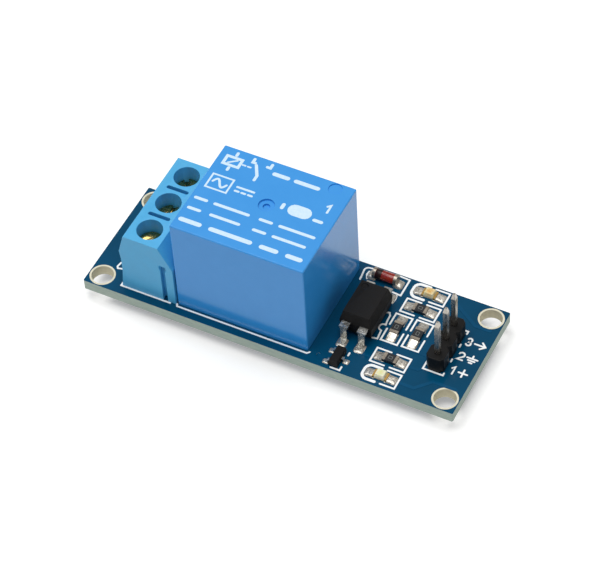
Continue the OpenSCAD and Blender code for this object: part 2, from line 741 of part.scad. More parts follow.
module transistor_body() {
    z = transistor_parting;
    color(BLACK) translate([transistor_x, transistor_y, transistor_z]) difference() {
        drafted_block(transistor_w, transistor_l, transistor_h, z, transistor_draft);
        for (p = transistor_places()) post(p[0] * transistor_w / 2, p[1], 2 * transistor_root,
            transistor_lead_w, z - transistor_lead_t / 2, z + transistor_lead_t / 2);
    }
}

// [side of the body, place along it]
function transistor_places() = [[-1, -transistor_pitch / 2], [-1, transistor_pitch / 2], [1, 0]];

module transistor_leads() {
    shoulder_z = transistor_z + transistor_parting - transistor_lead_t / 2;
    foot_z = top_z + seat_t;
    drop_x = transistor_w / 2 + 0.2;
    root_x = transistor_w / 2 - transistor_root;
    color(TINNED) for (p = transistor_places())
        translate([transistor_x, transistor_y + p[1] - transistor_lead_w / 2, 0])
            mirror([p[0] < 0 ? 1 : 0, 0, 0]) {
                translate([root_x, 0, shoulder_z])
                    cube([drop_x + transistor_lead_t - root_x, transistor_lead_w, transistor_lead_t]);
                translate([drop_x, 0, foot_z])
                    cube([transistor_lead_t, transistor_lead_w, shoulder_z - foot_z + transistor_lead_t / 2]);
                translate([drop_x, 0, foot_z])
                    cube([transistor_span / 2 - drop_x, transistor_lead_w, transistor_lead_t]);
            }
}

// ---- Glass diode ----

// The glass sleeve is sealed round the two slugs and the chip between them
module diode_glass() {
    l = diode_l - 2 * diode_cap_l;
    color("#c8501e") translate([diode_x - l / 2, diode_y, diode_z]) rotate([0, 90, 0]) difference() {
        cylinder(d = diode_glass_d, h = l);
        translate([0, 0, -OVERCUT]) cylinder(d = diode_slug_d, h = l + 2 * OVERCUT);
    }
}

module diode_cap(side) {
    slug_l = diode_l / 2 - diode_cap_l - 0.2;
    color(TINNED) translate([diode_x, diode_y, diode_z]) rotate([0, side * 90, 0]) {
        translate([0, 0, diode_l / 2 - diode_cap_l]) cylinder(d = diode_d, h = diode_cap_l);
        translate([0, 0, 0.2]) cylinder(d = diode_slug_d, h = slug_l);
    }
}

module diode_chip() {
    color(STEEL) post(diode_x, diode_y, 0.4, 0.5, diode_z - 0.25, diode_z + 0.25);
}

// ---- Chip LEDs and resistors ----

module led_base(i) {
    p = leds[i - 1];
    color(NATURAL) translate([p[0], p[1], top_z + seat_t]) rotate([0, 0, p[2]])
        post(0, 0, chip_l, chip_w, 0, led_h * 0.4);
}

module led_lens(i) {
    p = leds[i - 1];
    lens_l = chip_l - 0.6;
    color(i == 1 ? CLEAR_AMBER : "#e6e39a") translate([p[0], p[1], top_z + seat_t + led_h * 0.4])
        rotate([0, 0, p[2]]) drafted_block(lens_l, chip_w, led_h * 0.6, 0.01, 0.12);
}

module resistor(i) {
    p = resistors[i - 1];
    color(BLACK) translate([p[0], p[1], top_z + seat_t]) rotate([0, 0, p[2]]) {
        post(0, 0, chip_l - 2 * cap_t, chip_w, cap_t, resistor_h - cap_t);
        post(0, 0, chip_l - 2 * cap_l, chip_w, resistor_h - cap_t, resistor_h);
        post(0, 0, chip_l - 2 * cap_l, chip_w, 0.01, cap_t);
    }
}

// Metal ends wrap over and under each resistor's body
module resistor_ends() {
    color(TINNED) for (p = resistors) translate([p[0], p[1], top_z + seat_t]) rotate([0, 0, p[2]])
        for (s = [-1, 1]) difference() {
            post(s * (chip_l - cap_l) / 2, 0, cap_l, chip_w, 0, resistor_h);
            post(0, 0, chip_l - 2 * cap_t, chip_w + OVERCUT, cap_t, resistor_h - cap_t);
        }
}

// Solder under and against the end of a chip: a thin seat and a hollow slope
module chip_solder(h) {
    translate([pad_in, -pad_w / 2, 0]) cube([pad_out - pad_in, pad_w, seat_t]);
    translate([0, 0, seat_t]) slab_xz([
        [chip_l / 2, 0], [pad_out, 0], [chip_l / 2 + 0.5, 0.25 * h], [chip_l / 2 + 0.2, 0.5 * h],
        [chip_l / 2, 0.8 * h]
    ], chip_w);
}

module solder_pads() {
    color(TINNED) {
        for (p = resistors, s = [0, 180]) translate([p[0], p[1], top_z]) rotate([0, 0, p[2] + s])
            chip_solder(resistor_h);
        for (p = leds, s = [0, 180]) translate([p[0], p[1], top_z]) rotate([0, 0, p[2] + s])
            chip_solder(led_h * 0.4);
        for (sx = [-0.5, 0.5], sy = [-1, 1]) post(opto_x + sx * opto_pitch,
            opto_y + sy * (opto_span / 2 - opto_foot_l / 2), opto_pad_w, opto_foot_l + 2 * pad_margin,
            top_z, top_z + seat_t);
        for (p = transistor_places()) post(transistor_x + p[0] * (transistor_span / 2 - 0.1),
            transistor_y + p[1], transistor_pad[0], transistor_pad[1], top_z, top_z + seat_t);
        for (s = [-1, 1]) difference() {
            post(diode_x + s * (diode_l / 2 + diode_pad_out), diode_y, diode_pad_l, pad_w,
                top_z, top_z + diode_solder_h);
            translate([diode_x - diode_l / 2, diode_y, diode_z]) rotate([0, 90, 0])
                cylinder(d = diode_d, h = diode_l);
        }
    }
}

// ---- Header ----

module header_insulator() {
    color(BLACK) translate([header_x, 0, top_z]) difference() {
        linear_extrude(height = header_body) for (y = header_ys) translate([0, y]) polygon([
            for (q = [[1, 1], [-1, 1], [-1, -1], [1, -1]], k = [0, 1])
                let (first = (q[0] * q[1] > 0) == (k == 0))
                first
                    ? [q[0] * header_body / 2, q[1] * (header_pitch / 2 - header_chamfer)]
                    : [q[0] * (header_body / 2 - header_chamfer), q[1] * header_pitch / 2]
        ]);
        for (y = header_ys) post(0, y, header_pin_w, header_pin_w, -OVERCUT, header_body + OVERCUT);
    }
}

// A square pin with a tapered point
module header_pin(i) {
    shaft_z = top_z + header_pin_h - header_tip_l;
    half = header_pin_w / 2;
    tip = header_tip_w / 2;
    point = [[-half, 0], [half, 0], [tip, header_tip_l], [-tip, header_tip_l]];
    color(SILVER) translate([header_x, header_ys[i - 1], 0]) {
        post(0, 0, header_pin_w, header_pin_w, 0, shaft_z);
        translate([0, 0, shaft_z]) intersection() {
            slab_xz(point, header_pin_w);
            rotate([0, 0, 90]) slab_xz(point, header_pin_w);
        }
    }
}

pcb();
terminal_housing();
clamp_screw(1);  // clamp_screw_1
clamp_screw(2);  // clamp_screw_2
clamp_screw(3);  // clamp_screw_3
clamp_cage(1);  // clamp_cage_1
clamp_cage(2);  // clamp_cage_2
clamp_cage(3);  // clamp_cage_3
terminal_pin(1);  // terminal_pin_1
terminal_pin(2);  // terminal_pin_2
terminal_pin(3);  // terminal_pin_3
relay_cover();
relay_base();
coil_bobbin();
coil_winding();
coil_core();
relay_yoke();
armature();
contact_spring();
spring_rivets();
moving_contact();
closed_terminal();
closed_contact();
open_terminal();
open_contact();
common_pin();
coil_pin(-1);  // coil_pin_1
coil_pin(1);  // coil_pin_2
opto_body();
opto_lead(-1, 1);  // opto_lead_1
opto_lead(1, 1);  // opto_lead_2
opto_lead(1, -1);  // opto_lead_3
opto_lead(-1, -1);  // opto_lead_4
transistor_body();
transistor_leads();
diode_glass();
diode_cap(-1);  // diode_cap_1
diode_cap(1);  // diode_cap_2
diode_chip();
led_base(1);  // led_1_base
led_lens(1);  // led_1_lens
led_base(2);  // led_2_base
led_lens(2);  // led_2_lens
resistor(1);  // resistor_1
resistor(2);  // resistor_2
resistor(3);  // resistor_3
resistor(4);  // resistor_4
resistor_ends();
header_insulator();
header_pin(1);  // header_pin_1
header_pin(2);  // header_pin_2
header_pin(3);  // header_pin_3
solder_joints();
solder_pads();
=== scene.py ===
# %% [markdown]
# # A relay module board
#
# The object is a small circuit board. It carries a sealed relay, three screw terminals, a three-pin
# header, an optocoupler, and a few parts no bigger than grains of rice. Every solid piece comes from
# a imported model, in metres and already in its place. What is left for Blender is what the eye meets:
# the finish of each surface, the printed ink, copper under its paint, solder, and screw threads.

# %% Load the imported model
import json
from math import cos, pi, radians, sin, sqrt

import bmesh
import bpy
from mathutils import Matrix, Vector


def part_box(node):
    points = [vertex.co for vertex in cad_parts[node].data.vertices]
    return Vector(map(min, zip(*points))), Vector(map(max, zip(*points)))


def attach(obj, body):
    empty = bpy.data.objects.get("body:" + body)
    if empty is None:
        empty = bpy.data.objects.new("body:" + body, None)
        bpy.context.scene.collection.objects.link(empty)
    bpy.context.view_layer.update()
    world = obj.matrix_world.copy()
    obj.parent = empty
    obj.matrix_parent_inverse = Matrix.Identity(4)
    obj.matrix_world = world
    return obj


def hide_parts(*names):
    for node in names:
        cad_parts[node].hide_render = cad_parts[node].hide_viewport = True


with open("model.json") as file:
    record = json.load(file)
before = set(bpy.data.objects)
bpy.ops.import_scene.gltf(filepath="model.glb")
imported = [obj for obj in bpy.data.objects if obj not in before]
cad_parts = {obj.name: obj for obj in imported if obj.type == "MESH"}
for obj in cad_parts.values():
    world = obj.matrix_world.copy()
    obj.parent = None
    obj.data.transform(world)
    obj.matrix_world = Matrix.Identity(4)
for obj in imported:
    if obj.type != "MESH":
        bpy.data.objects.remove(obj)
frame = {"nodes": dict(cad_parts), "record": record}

MM = 0.001
# An empty Blender file starts with a cube, a camera and a lamp. They go before anything is measured.
for name in ("Cube", "Camera", "Light"):
    if name in bpy.data.objects:
        bpy.data.objects.remove(bpy.data.objects[name])
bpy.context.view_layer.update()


def corners(node):
    """The lowest and the highest corner of a node's box, in millimetres."""
    return [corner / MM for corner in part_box(node)]


def middle(node):
    """The centre of a node's box, in millimetres."""
    low, high = corners(node)
    return (low + high) / 2


def size(node):
    """The lengths of a node's box, in millimetres."""
    low, high = corners(node)
    return high - low


def quarters_of(chip):
    """Quarter turns of a chip: none when it lies along X."""
    return 0 if size(chip).x > size(chip).y else 1


def put(name, data):
    """An object made from its data and put in the scene."""
    thing = bpy.data.objects.new(name, data)
    bpy.context.scene.collection.objects.link(thing)
    return thing


BOARD_UNDER, BOARD_TOP = [corner.z for corner in corners("pcb")]
print(len(frame["nodes"]), "nodes; the board is", [round(v, 2) for v in size("pcb")], "mm")

# %% [markdown]
# ## The camera
#
# The board is seen from its front right corner, from about fifty degrees up, through a long lens, so
# that its edges stay nearly parallel. The camera is placed by direction and distance from a point
# just behind the middle of the board, then rolled a little, as a hand-held camera is.

# %% Camera
AZIMUTH, ELEVATION, ROLL = radians(29.44), radians(49.56), radians(-3.8)
DISTANCE = 0.35535
AIM_BEHIND_MIDDLE, AIM_ABOVE_BOARD = 1.62, 1.2
AIM = Vector((0, AIM_BEHIND_MIDDLE, BOARD_TOP + AIM_ABOVE_BOARD)) * MM
SENSOR_WIDTH, LENS = 36, 162.7
NEAREST_SEEN = 0.02


def camera_axes(azimuth, elevation, roll):
    """The right, up and backward directions of a camera that looks at its aim point."""
    back = Vector((sin(azimuth) * cos(elevation), -cos(azimuth) * cos(elevation), sin(elevation)))
    level = Vector((cos(azimuth), sin(azimuth), 0))
    raised = back.cross(level)
    right = cos(roll) * level + sin(roll) * raised
    return right, back.cross(right), back


camera = put("camera", bpy.data.cameras.new("camera"))
axes = camera_axes(AZIMUTH, ELEVATION, ROLL)
turn = Matrix(axes).transposed()
camera.matrix_world = Matrix.Translation(AIM + DISTANCE * axes[2]) @ turn.to_4x4()
camera.data.sensor_width = SENSOR_WIDTH
camera.data.lens = LENS
camera.data.clip_start = NEAREST_SEEN
bpy.context.scene.camera = camera
print("camera at", [round(v, 3) for v in camera.location], "m")

# %% [markdown]
# ## Colour and node helpers
#
# Colours are written as sRGB hex values, as a paint card gives them, and one function turns them into
# the linear values that shaders work with. A second function adds one shader node at a time, with its
# settings and links. Nearly every finish then comes from one recipe, a noise that mottles colour and
# gloss together, because a real surface that is a little darker in one spot is seldom as smooth there.

# %% Helpers for materials
NOISE_LOW, NOISE_HIGH = 0.3, 0.7  # nearly all values of a noise lie between these two


def linear(colour):
    """An sRGB hex colour as linear red, green, blue and alpha."""
    parts = [int(colour[i:i + 2], 16) / 255 for i in (1, 3, 5)]
    return [p / 12.92 if p <= 0.04045 else ((p + 0.055) / 1.055) ** 2.4 for p in parts] + [1]


def plug(material, value, socket):
    """Gives a socket a number, a hex colour or an output; a node stands for its first output."""
    if isinstance(value, bpy.types.Node):
        value = value.outputs[0]
    if isinstance(value, bpy.types.NodeSocket):
        material.node_tree.links.new(value, socket)
    else:
        socket.default_value = linear(value) if isinstance(value, str) else value


def add(material, kind, inputs=(), **settings):
    """Adds a shader node, sets it and plugs in its inputs."""
    node = material.node_tree.nodes.new("ShaderNode" + kind)
    for name, value in settings.items():
        setattr(node, name, value)
    for name, value in dict(inputs).items():
        plug(material, value, node.inputs[name])
    return node


def new_material(name, inputs):
    """A material with one principled shader, and that shader."""
    material = bpy.data.materials.new(name)
    material.use_nodes = True
    material.node_tree.nodes.clear()
    shader = add(material, "BsdfPrincipled", inputs)
    add(material, "OutputMaterial", {"Surface": shader})
    return material, shader


def feed(material, shader, **inputs):
    """Plugs in more of a shader's inputs; an underscore in a name stands for a space."""
    for name, value in inputs.items():
        plug(material, value, shader.inputs[name.replace("_", " ")])


def mottled(name, dark, light, grain, gloss, depth=0, stretch=(1, 1, 1), **inputs):
    """A material whose colour, gloss and relief follow one noise.

    grain is the noise's size and depth its height, both in millimetres; gloss is the lowest and
    highest roughness. stretch makes the grain finer along an axis where it is over 1.
    """
    inputs = {key.replace("_", " "): value for key, value in inputs.items()}
    material, shader = new_material(name, inputs)
    place = add(material, "TexCoord").outputs["Object"]
    scaled = add(material, "Mapping", {"Vector": place, "Scale": stretch})
    noise = add(material, "TexNoise", {
        "Vector": scaled, "Scale": 1 / (grain * MM), "Detail": 4, "Roughness": 0.6})
    tone = add(material, "MixRGB", {"Fac": noise, "Color1": dark, "Color2": light})
    rough = add(material, "MapRange", {
        "Value": noise, "From Min": NOISE_LOW, "From Max": NOISE_HIGH,
        "To Min": gloss[0], "To Max": gloss[1]})
    feed(material, shader, Base_Color=tone, Roughness=rough)
    if depth:
        relief = add(material, "Bump", {"Height": noise, "Distance": depth * MM, "Strength": 1})
        feed(material, shader, Normal=relief)
    return material


def finish(material, *nodes):
    """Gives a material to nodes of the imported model."""
    for node in nodes:
        mesh = frame["nodes"][node].data
        mesh.materials.clear()
        mesh.materials.append(material)


def numbered(name, count):
    """Node names with a number at the end: pin_1, pin_2 and so on."""
    return [f"{name}_{i + 1}" for i in range(count)]


print("the middle grey #808080 in linear light:", [round(v, 3) for v in linear("#808080")])

# %% [markdown]
# ## The board's own material
#
# The board is glass-epoxy laminate: woven glass cloth set in resin, cream where it is drilled. Its
# outer cut edge is painted a darker grey-green, as painted shade. Blue solder mask is printed over
# both faces and cured to a gloss. It stops short of the four screw holes, where a ring of bare
# laminate shows. One material can say all of this, because a node can ask which way a surface faces
# and how far it lies from the nearest hole.

# %% Solder mask and bare laminate
HOLES = next(m for m in frame["record"]["mounts"] if m["name"] == "board_holes")["dims"]
HOLE_PLACE = Vector((HOLES["spacing_x_mm"] / 2, HOLES["spacing_y_mm"] / 2, 0))
MASK_PULLBACK = 0.25
BARE_RING = HOLES["hole_r_mm"] + MASK_PULLBACK
CLOTH_PITCH = 0.5  # threads of the glass cloth
CLOTH_RELIEF = 0.0005  # what is left of the weave on top of the mask
PLY = 0.2  # one layer of cloth and resin in the cut edge
STREAK = 6  # a streak in the edge is this many times as long as it is thick
MASK_POOL = 6  # the mask is a shade thicker in pools of this size
LEVEL = 0.7  # a face is level when its normal's rise is over this, about 45 degrees
WAVE_CYCLE = 0.314  # a wave texture at scale 1 repeats at this length


def board_finish():
    """Blue mask on level faces, bare laminate round the holes, and an edge of plies in painted shade."""
    material, shader = new_material("solder_mask_printed_on_glass_epoxy", {
        "IOR": 1.5, "Specular IOR Level": 0.25})
    source = add(material, "TexCoord")
    place, normal = source.outputs["Object"], source.outputs["Normal"]
    facing = add(material, "SeparateXYZ", {"Vector": normal})
    upright = add(material, "Math", {0: facing.outputs["Z"]}, operation="ABSOLUTE")
    flat = add(material, "Math", {0: upright, 1: LEVEL}, operation="GREATER_THAN")
    corner = add(material, "VectorMath", {0: place}, operation="ABSOLUTE")
    level = add(material, "VectorMath", {0: corner, 1: (1, 1, 0)}, operation="MULTIPLY")
    reach = add(material, "VectorMath", {0: level, 1: HOLE_PLACE * MM}, operation="DISTANCE")
    clear = add(material, "Math", {0: reach.outputs["Value"], 1: BARE_RING * MM},
                operation="GREATER_THAN")
    masked = add(material, "Math", {0: flat, 1: clear}, operation="MULTIPLY")

    pool = add(material, "TexNoise", {"Vector": place, "Scale": 1 / (MASK_POOL * MM), "Detail": 3})
    paint = add(material, "MixRGB", {"Fac": pool, "Color1": "#003C57", "Color2": "#004C71"})
    squash = add(material, "Mapping", {"Vector": place, "Scale": (1, 1, STREAK)})
    fibre = add(material, "TexNoise", {
        "Vector": squash, "Scale": 1 / (STREAK * PLY * MM), "Detail": 6, "Roughness": 0.7})
    drilled = add(material, "MixRGB", {"Fac": fibre, "Color1": "#CFC8A8", "Color2": "#F0EBD8"})
    # The outer cut edge: the plies' streaks in a grey-green darker than the cream, as painted shade.
    shaded_cut_edge = add(material, "MixRGB", {"Fac": fibre, "Color1": "#839C96", "Color2": "#CCD6C8"})
    resin = add(material, "MixRGB", {"Fac": clear, "Color1": drilled, "Color2": shaded_cut_edge})
    tone = add(material, "MixRGB", {"Fac": masked, "Color1": resin, "Color2": paint})
    gloss = add(material, "MapRange", {"Value": masked, "To Min": 0.7, "To Max": 0.15})

    warp, weft = [add(material, "TexWave", {"Vector": place, "Scale": WAVE_CYCLE / (CLOTH_PITCH * MM)},
                      bands_direction=axis) for axis in "XY"]
    cloth = add(material, "Math", {0: warp.outputs["Fac"], 1: weft.outputs["Fac"]},
                operation="MAXIMUM")
    relief = add(material, "Bump", {"Height": cloth, "Distance": CLOTH_RELIEF * MM, "Strength": 1})
    feed(material, shader, Base_Color=tone, Roughness=gloss, Normal=relief)
    return material


finish(board_finish(), "pcb")
print("bare ring", BARE_RING, "mm round holes", 2 * HOLE_PLACE.x, "by", 2 * HOLE_PLACE.y, "mm apart")

# %% [markdown]
# ## Moulded plastics
#
# Most pieces are moulded, and a moulding copies the skin of its mould. The relay case is polyester
# from a polished mould, so its sides are glossy with a faint ripple, but its top was left satin for
# the print. The terminal block is polyamide from a sparked mould, which is satin all over. The black
# parts are epoxy or nylon, pressed at low gloss. The grains are drawn a little coarser than a real
# sparked mould's, which would be too fine to show.

# %% Plastics


def satin_top(material, roughness):
    """Makes the upward faces of a polished moulding satin, so that ink can hold to them."""
    shader = material.node_tree.nodes["Principled BSDF"]
    polished = shader.inputs["Roughness"].links[0].from_socket
    normal = add(material, "TexCoord").outputs["Normal"]
    facing = add(material, "SeparateXYZ", {"Vector": normal})
    upward = add(material, "Math", {0: facing.outputs["Z"], 1: LEVEL}, operation="GREATER_THAN")
    rough = add(material, "MapRange", {"Value": upward, "To Min": polished, "To Max": roughness})
    feed(material, shader, Roughness=rough)


SATIN = 0.45

# Polished sides mirror what stands beside them; the colour drifts slowly, as it does in a moulding.
relay_polyester = mottled("relay_case_polyester", "#2F90DC", "#3B99E4", 2.5, (0.16, 0.22),
                          depth=0.0008, IOR=1.46)
satin_top(relay_polyester, SATIN)
# The base plate is a darker blue, and dull because it comes from a plain milled mould.
base_polyester = mottled("relay_base_polyester", "#234F86", "#2A5C99", 1.2, (0.4, 0.5), depth=0.002)
# Sky blue with a soft, broad sheen and no mirror in it.
terminal_polyamide = mottled("terminal_block_satin_polyamide", "#42A5D8", "#53B3E4", 1.2, (0.4, 0.52),
                             depth=0.002, IOR=1.53)
# Ivory and matt: glass fibres lie close under the skin.
bobbin_polyester = mottled("bobbin_glass_filled_polyester", "#D8D2BE", "#E6E1CF", 0.3, (0.45, 0.6),
                           depth=0.002)
# Charcoal black, as dull as slate.
black_epoxy = mottled("moulded_black_epoxy", "#0A0909", "#141211", 0.12, (0.5, 0.7), depth=0.004,
                      Specular_IOR_Level=0.22)
# Blacker than the epoxy and a little shinier.
header_nylon = mottled("header_black_nylon", "#070707", "#0F0E0F", 0.15, (0.32, 0.5), depth=0.003,
                       Specular_IOR_Level=0.22)
# A thin coat of glass over the resistor's film, black with a small sharp highlight.
resistor_glaze = mottled("chip_resistor_black_glaze", "#101114", "#22242A", 0.15, (0.2, 0.34),
                         depth=0.002, IOR=1.6)
finish(relay_polyester, "relay_cover")
finish(base_polyester, "relay_base")
finish(bobbin_polyester, "coil_bobbin")
finish(resistor_glaze, *numbered("resistor", 4))
print("moulded and glazed materials ready")

# %% [markdown]
# ## Metals
#
# A metal has no paint under its shine: its colour sits in the reflection, so Metallic is 1. Tin that
# has been molten is the exception here. It keeps a film of flux and oxide, which is dull and pale, so
# its Metallic is a little lower, and its surface is drawn lumpy. Each finish below says how the metal
# was worked, because rolling, dipping and plating each leave a mark of their own.

# %% Metals
# Stamped copper alloy dipped in tin: dipping leaves soft pools about as wide as a lead.
tinned_copper = mottled("tinned_copper_strip", "#7C7A73", "#FBF9F2", 0.9, (0.14, 0.3),
                        depth=0.06, Metallic=0.9)
# Square wire plated after drawing: long streaks, which is what the stretch along Z gives.
pin_plate = mottled("tin_plated_square_wire", "#98928B", "#DCD6CC", 0.25, (0.2, 0.34),
                    depth=0.001, stretch=(3, 3, 0.3), Metallic=1.0)
# Zinc with a yellow passivation, which looks like brass with straw and olive patches. Its colour
# is set darker than the plating, as painted shade for the screws and cages deep in the housing.
yellow_zinc_with_painted_shade = mottled("yellow_zinc_plated_steel", "#7D6832", "#D9C27A", 0.3, (0.16, 0.34),
                      depth=0.002, Metallic=1.0)
# Soft iron with a thin grey plating, satin from annealing.
relay_iron = mottled("zinc_plated_soft_iron", "#8E9094", "#B9BBBE", 0.5, (0.3, 0.45),
                     depth=0.001, Metallic=1.0)
# Rolled sheet, orange-brown, with fine lines along the way it was rolled.
spring_bronze = mottled("rolled_phosphor_bronze", "#B98249", "#D59F66", 0.3, (0.22, 0.36),
                        stretch=(0.3, 3, 3), depth=0.001, Metallic=1.0)
# Rivets headed from bright wire, the whitest metal here.
contact_silver = mottled("silver_alloy_rivet", "#CFCFCD", "#ECECEA", 0.2, (0.15, 0.3), Metallic=1.0)
# Reflowed solder: bright, uneven, and dark only where it mirrors the dark.
solder_tin = mottled("reflowed_tin_solder", "#6A6054", "#FFFAEE", 0.3, (0.2, 0.4),
                     depth=0.05, Metallic=0.65)
# The metal ends of chips and of the diode, which solder has crept over.
wetted_cap = mottled("tin_wetted_cap", "#7A7065", "#C6BAA9", 0.2, (0.25, 0.4),
                     depth=0.003, Metallic=0.8)
finish(tinned_copper, "closed_terminal", "open_terminal", "common_pin", "transistor_leads",
       *numbered("coil_pin", 2), *numbered("terminal_pin", 3), *numbered("opto_lead", 4))
finish(wetted_cap, "resistor_ends", *numbered("diode_cap", 2))
finish(yellow_zinc_with_painted_shade, *numbered("clamp_cage", 3))
finish(pin_plate, *numbered("header_pin", 3))
finish(relay_iron, "coil_core", "relay_yoke", "armature", "spring_rivets", "diode_chip")
finish(spring_bronze, "contact_spring")
finish(contact_silver, "moving_contact", "closed_contact", "open_contact")
print("plated and rolled metals ready")

# %% [markdown]
# ## Winding, glass and light-emitting resin
#
# The coil is thousands of turns of lacquered wire. A band pattern with the wire's own pitch raises
# its surface and paints a highlight along each turn and shade in the gaps between, so no turn has
# to be modelled. The diode is a bead of red glass round two metal slugs, clear enough for light to
# pass. The two light-emitting chips are cast in a milky resin on a strip of cream laminate whose
# ends are plated with gold. Their colour gathers over the chip in the middle, so it follows the
# distance from there.

# %% Winding
WIRE_PITCH = 0.12
WIRE_RELIEF = 0.04


def winding_finish():
    """Copper wire in a brown lacquer: a painted highlight along each turn, painted shade between turns."""
    material, shader = new_material("lacquered_copper_wire_winding", {"Metallic": 1.0, "Roughness": 0.3})
    place = add(material, "TexCoord").outputs["Object"]
    turns = add(material, "TexWave", {
        "Vector": place, "Scale": WAVE_CYCLE / (WIRE_PITCH * MM), "Distortion": 0.4},
        bands_direction="Z")
    # The bands paint a highlight on each turn's crest and shade in the gaps between the turns.
    tone = add(material, "MixRGB", {"Fac": turns.outputs["Fac"], "Color1": "#5E2A14", "Color2": "#C9743F"})
    relief = add(material, "Bump", {
        "Height": turns.outputs["Fac"], "Distance": WIRE_RELIEF * MM, "Strength": 1})
    feed(material, shader, Base_Color=tone, Normal=relief)
    return material


finish(winding_finish(), "coil_winding")
print("a winding with wire every", WIRE_PITCH, "mm")

# %% Glass and resin
RESIN_CLOUD, LAMINATE_CLOUD = 0.22, 0.2  # the size of the clouds in each


def cast_resin(name, edge, heart, centre, reach):
    """Milky resin, paler at its ends and deeper in colour over the chip inside it.

    Light scatters under its skin, red the furthest. The clouds move the border between the two
    colours in and out, so it looks cast and not painted.
    """
    material, shader = new_material(name, {
        "Roughness": 0.16, "IOR": 1.52, "Transmission Weight": 0.1, "Subsurface Weight": 0.3,
        "Subsurface Radius": (0.6 * MM, 0.4 * MM, 0.2 * MM), "Subsurface Scale": 1.0})
    place = add(material, "TexCoord").outputs["Object"]
    span = add(material, "VectorMath", {0: place, 1: centre * MM}, operation="DISTANCE")
    cloud = add(material, "TexNoise", {"Vector": place, "Scale": 1 / (RESIN_CLOUD * MM), "Detail": 2})
    drift = add(material, "Math", {0: cloud, 1: 1.1 * reach * MM, 2: span.outputs["Value"]},
                operation="MULTIPLY_ADD")
    fade = add(material, "MapRange", {
        "Value": drift, "From Min": 0.7 * reach * MM, "From Max": 1.7 * reach * MM})
    tone = add(material, "MixRGB", {"Fac": fade, "Color1": heart, "Color2": edge})
    feed(material, shader, Base_Color=tone)
    return material


def gold_ended(name, centre, reach):
    """Cream laminate whose ends, past a distance from its middle, are plated with gold."""
    material, shader = new_material(name, {"IOR": 1.5})
    place = add(material, "TexCoord").outputs["Object"]
    offset = add(material, "VectorMath", {0: place, 1: centre * MM}, operation="SUBTRACT")
    split = add(material, "SeparateXYZ", {"Vector": offset})
    far = add(material, "Math", {0: split.outputs["X"]}, operation="ABSOLUTE")
    plated = add(material, "Math", {0: far, 1: reach * MM}, operation="GREATER_THAN")
    cloud = add(material, "TexNoise", {"Vector": place, "Scale": 1 / (LAMINATE_CLOUD * MM), "Detail": 3})
    cream = add(material, "MixRGB", {"Fac": cloud, "Color1": "#DED3B0", "Color2": "#F2E9CC"})
    gold = add(material, "MixRGB", {"Fac": cloud, "Color1": "#B98A3C", "Color2": "#EBC77E"})
    tone = add(material, "MixRGB", {"Fac": plated, "Color1": cream, "Color2": gold})
    rough = add(material, "MapRange", {"Value": plated, "To Min": 0.5, "To Max": 0.3})
    feed(material, shader, Base_Color=tone, Metallic=plated, Roughness=rough)
    return material


LED_REACH = 0.7  # from the middle of the chip to where the gold begins
for base in ("led_1_base", "led_2_base"):
    finish(gold_ended(base + "_laminate_with_gold_ends", middle(base), LED_REACH), base)
amber_resin = cast_resin("cast_amber_led_resin", "#FFF2C4", "#E0A22C", middle("led_1_lens"), LED_REACH)
pale_resin = cast_resin("cast_pale_led_resin", "#FFFBE0", "#F0EBA2", middle("led_2_lens"), LED_REACH)
# Drawn while hot, so it is smooth: sharp highlights, and a red that deepens where the glass is thick.
diode_glass = mottled("drawn_red_glass", "#8E1710", "#DA4630", 0.8, (0.12, 0.2),
                      IOR=1.52, Transmission_Weight=0.4)
finish(amber_resin, "led_1_lens")
finish(pale_resin, "led_2_lens")
finish(diode_glass, "diode_glass")
print("one glass and two resins, whose colour gathers within", LED_REACH, "mm of the middle")

# %% [markdown]
# ## From a mesh to a piece
#
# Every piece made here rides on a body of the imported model, so that it moves when the body moves. A
# piece may also stand for a node, which is then hidden. Faces that meet at a shallow angle are shaded
# smooth and the rest stay crisp, as they would on a real part. Two more helpers do most of the
# modelling: one joins rings of points into a skin, and one lays a flat strip along a path.

# %% From mesh to piece
SMOOTH_BELOW = 38  # degrees between faces


def new_piece(name, shape, material, body="board", stands_for=()):
    """Turns a bmesh in metres into a piece that rides on a body and may stand for nodes."""
    bmesh.ops.recalc_face_normals(shape, faces=shape.faces)
    mesh = bpy.data.meshes.new(name)
    shape.to_mesh(mesh)
    shape.free()
    mesh.materials.append(material)
    mesh.shade_smooth()
    mesh.set_sharp_from_angle(angle=radians(SMOOTH_BELOW))
    piece = put(name, mesh)
    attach(piece, body)
    if stands_for:
        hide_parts(*stands_for)
    print(name, "has", len(mesh.polygons), "faces")
    return piece


print("faces that meet below", SMOOTH_BELOW, "degrees are shaded smooth")

# %% Skins, arcs and strips


def skin(shape, rings, around=True, ends=True):
    """Joins rings of points, each a list of the same length, into a closed surface."""
    made = [[shape.verts.new(Vector(p) * MM) for p in ring] for ring in rings]
    count = len(made[0])
    for one, two in zip(made, made[1:]):
        for i in range(count if around else count - 1):
            j = (i + 1) % count
            shape.faces.new((one[i], one[j], two[j], two[i]))
    if ends:
        shape.faces.new(made[0])
        shape.faces.new(made[-1])
    return made


def arc(centre, radius, start, end, steps=8):
    """Points along an arc, its angles in degrees."""
    angles = [radians(start + (end - start) * i / steps) for i in range(steps + 1)]
    return [(centre[0] + radius * cos(a), centre[1] + radius * sin(a)) for a in angles]


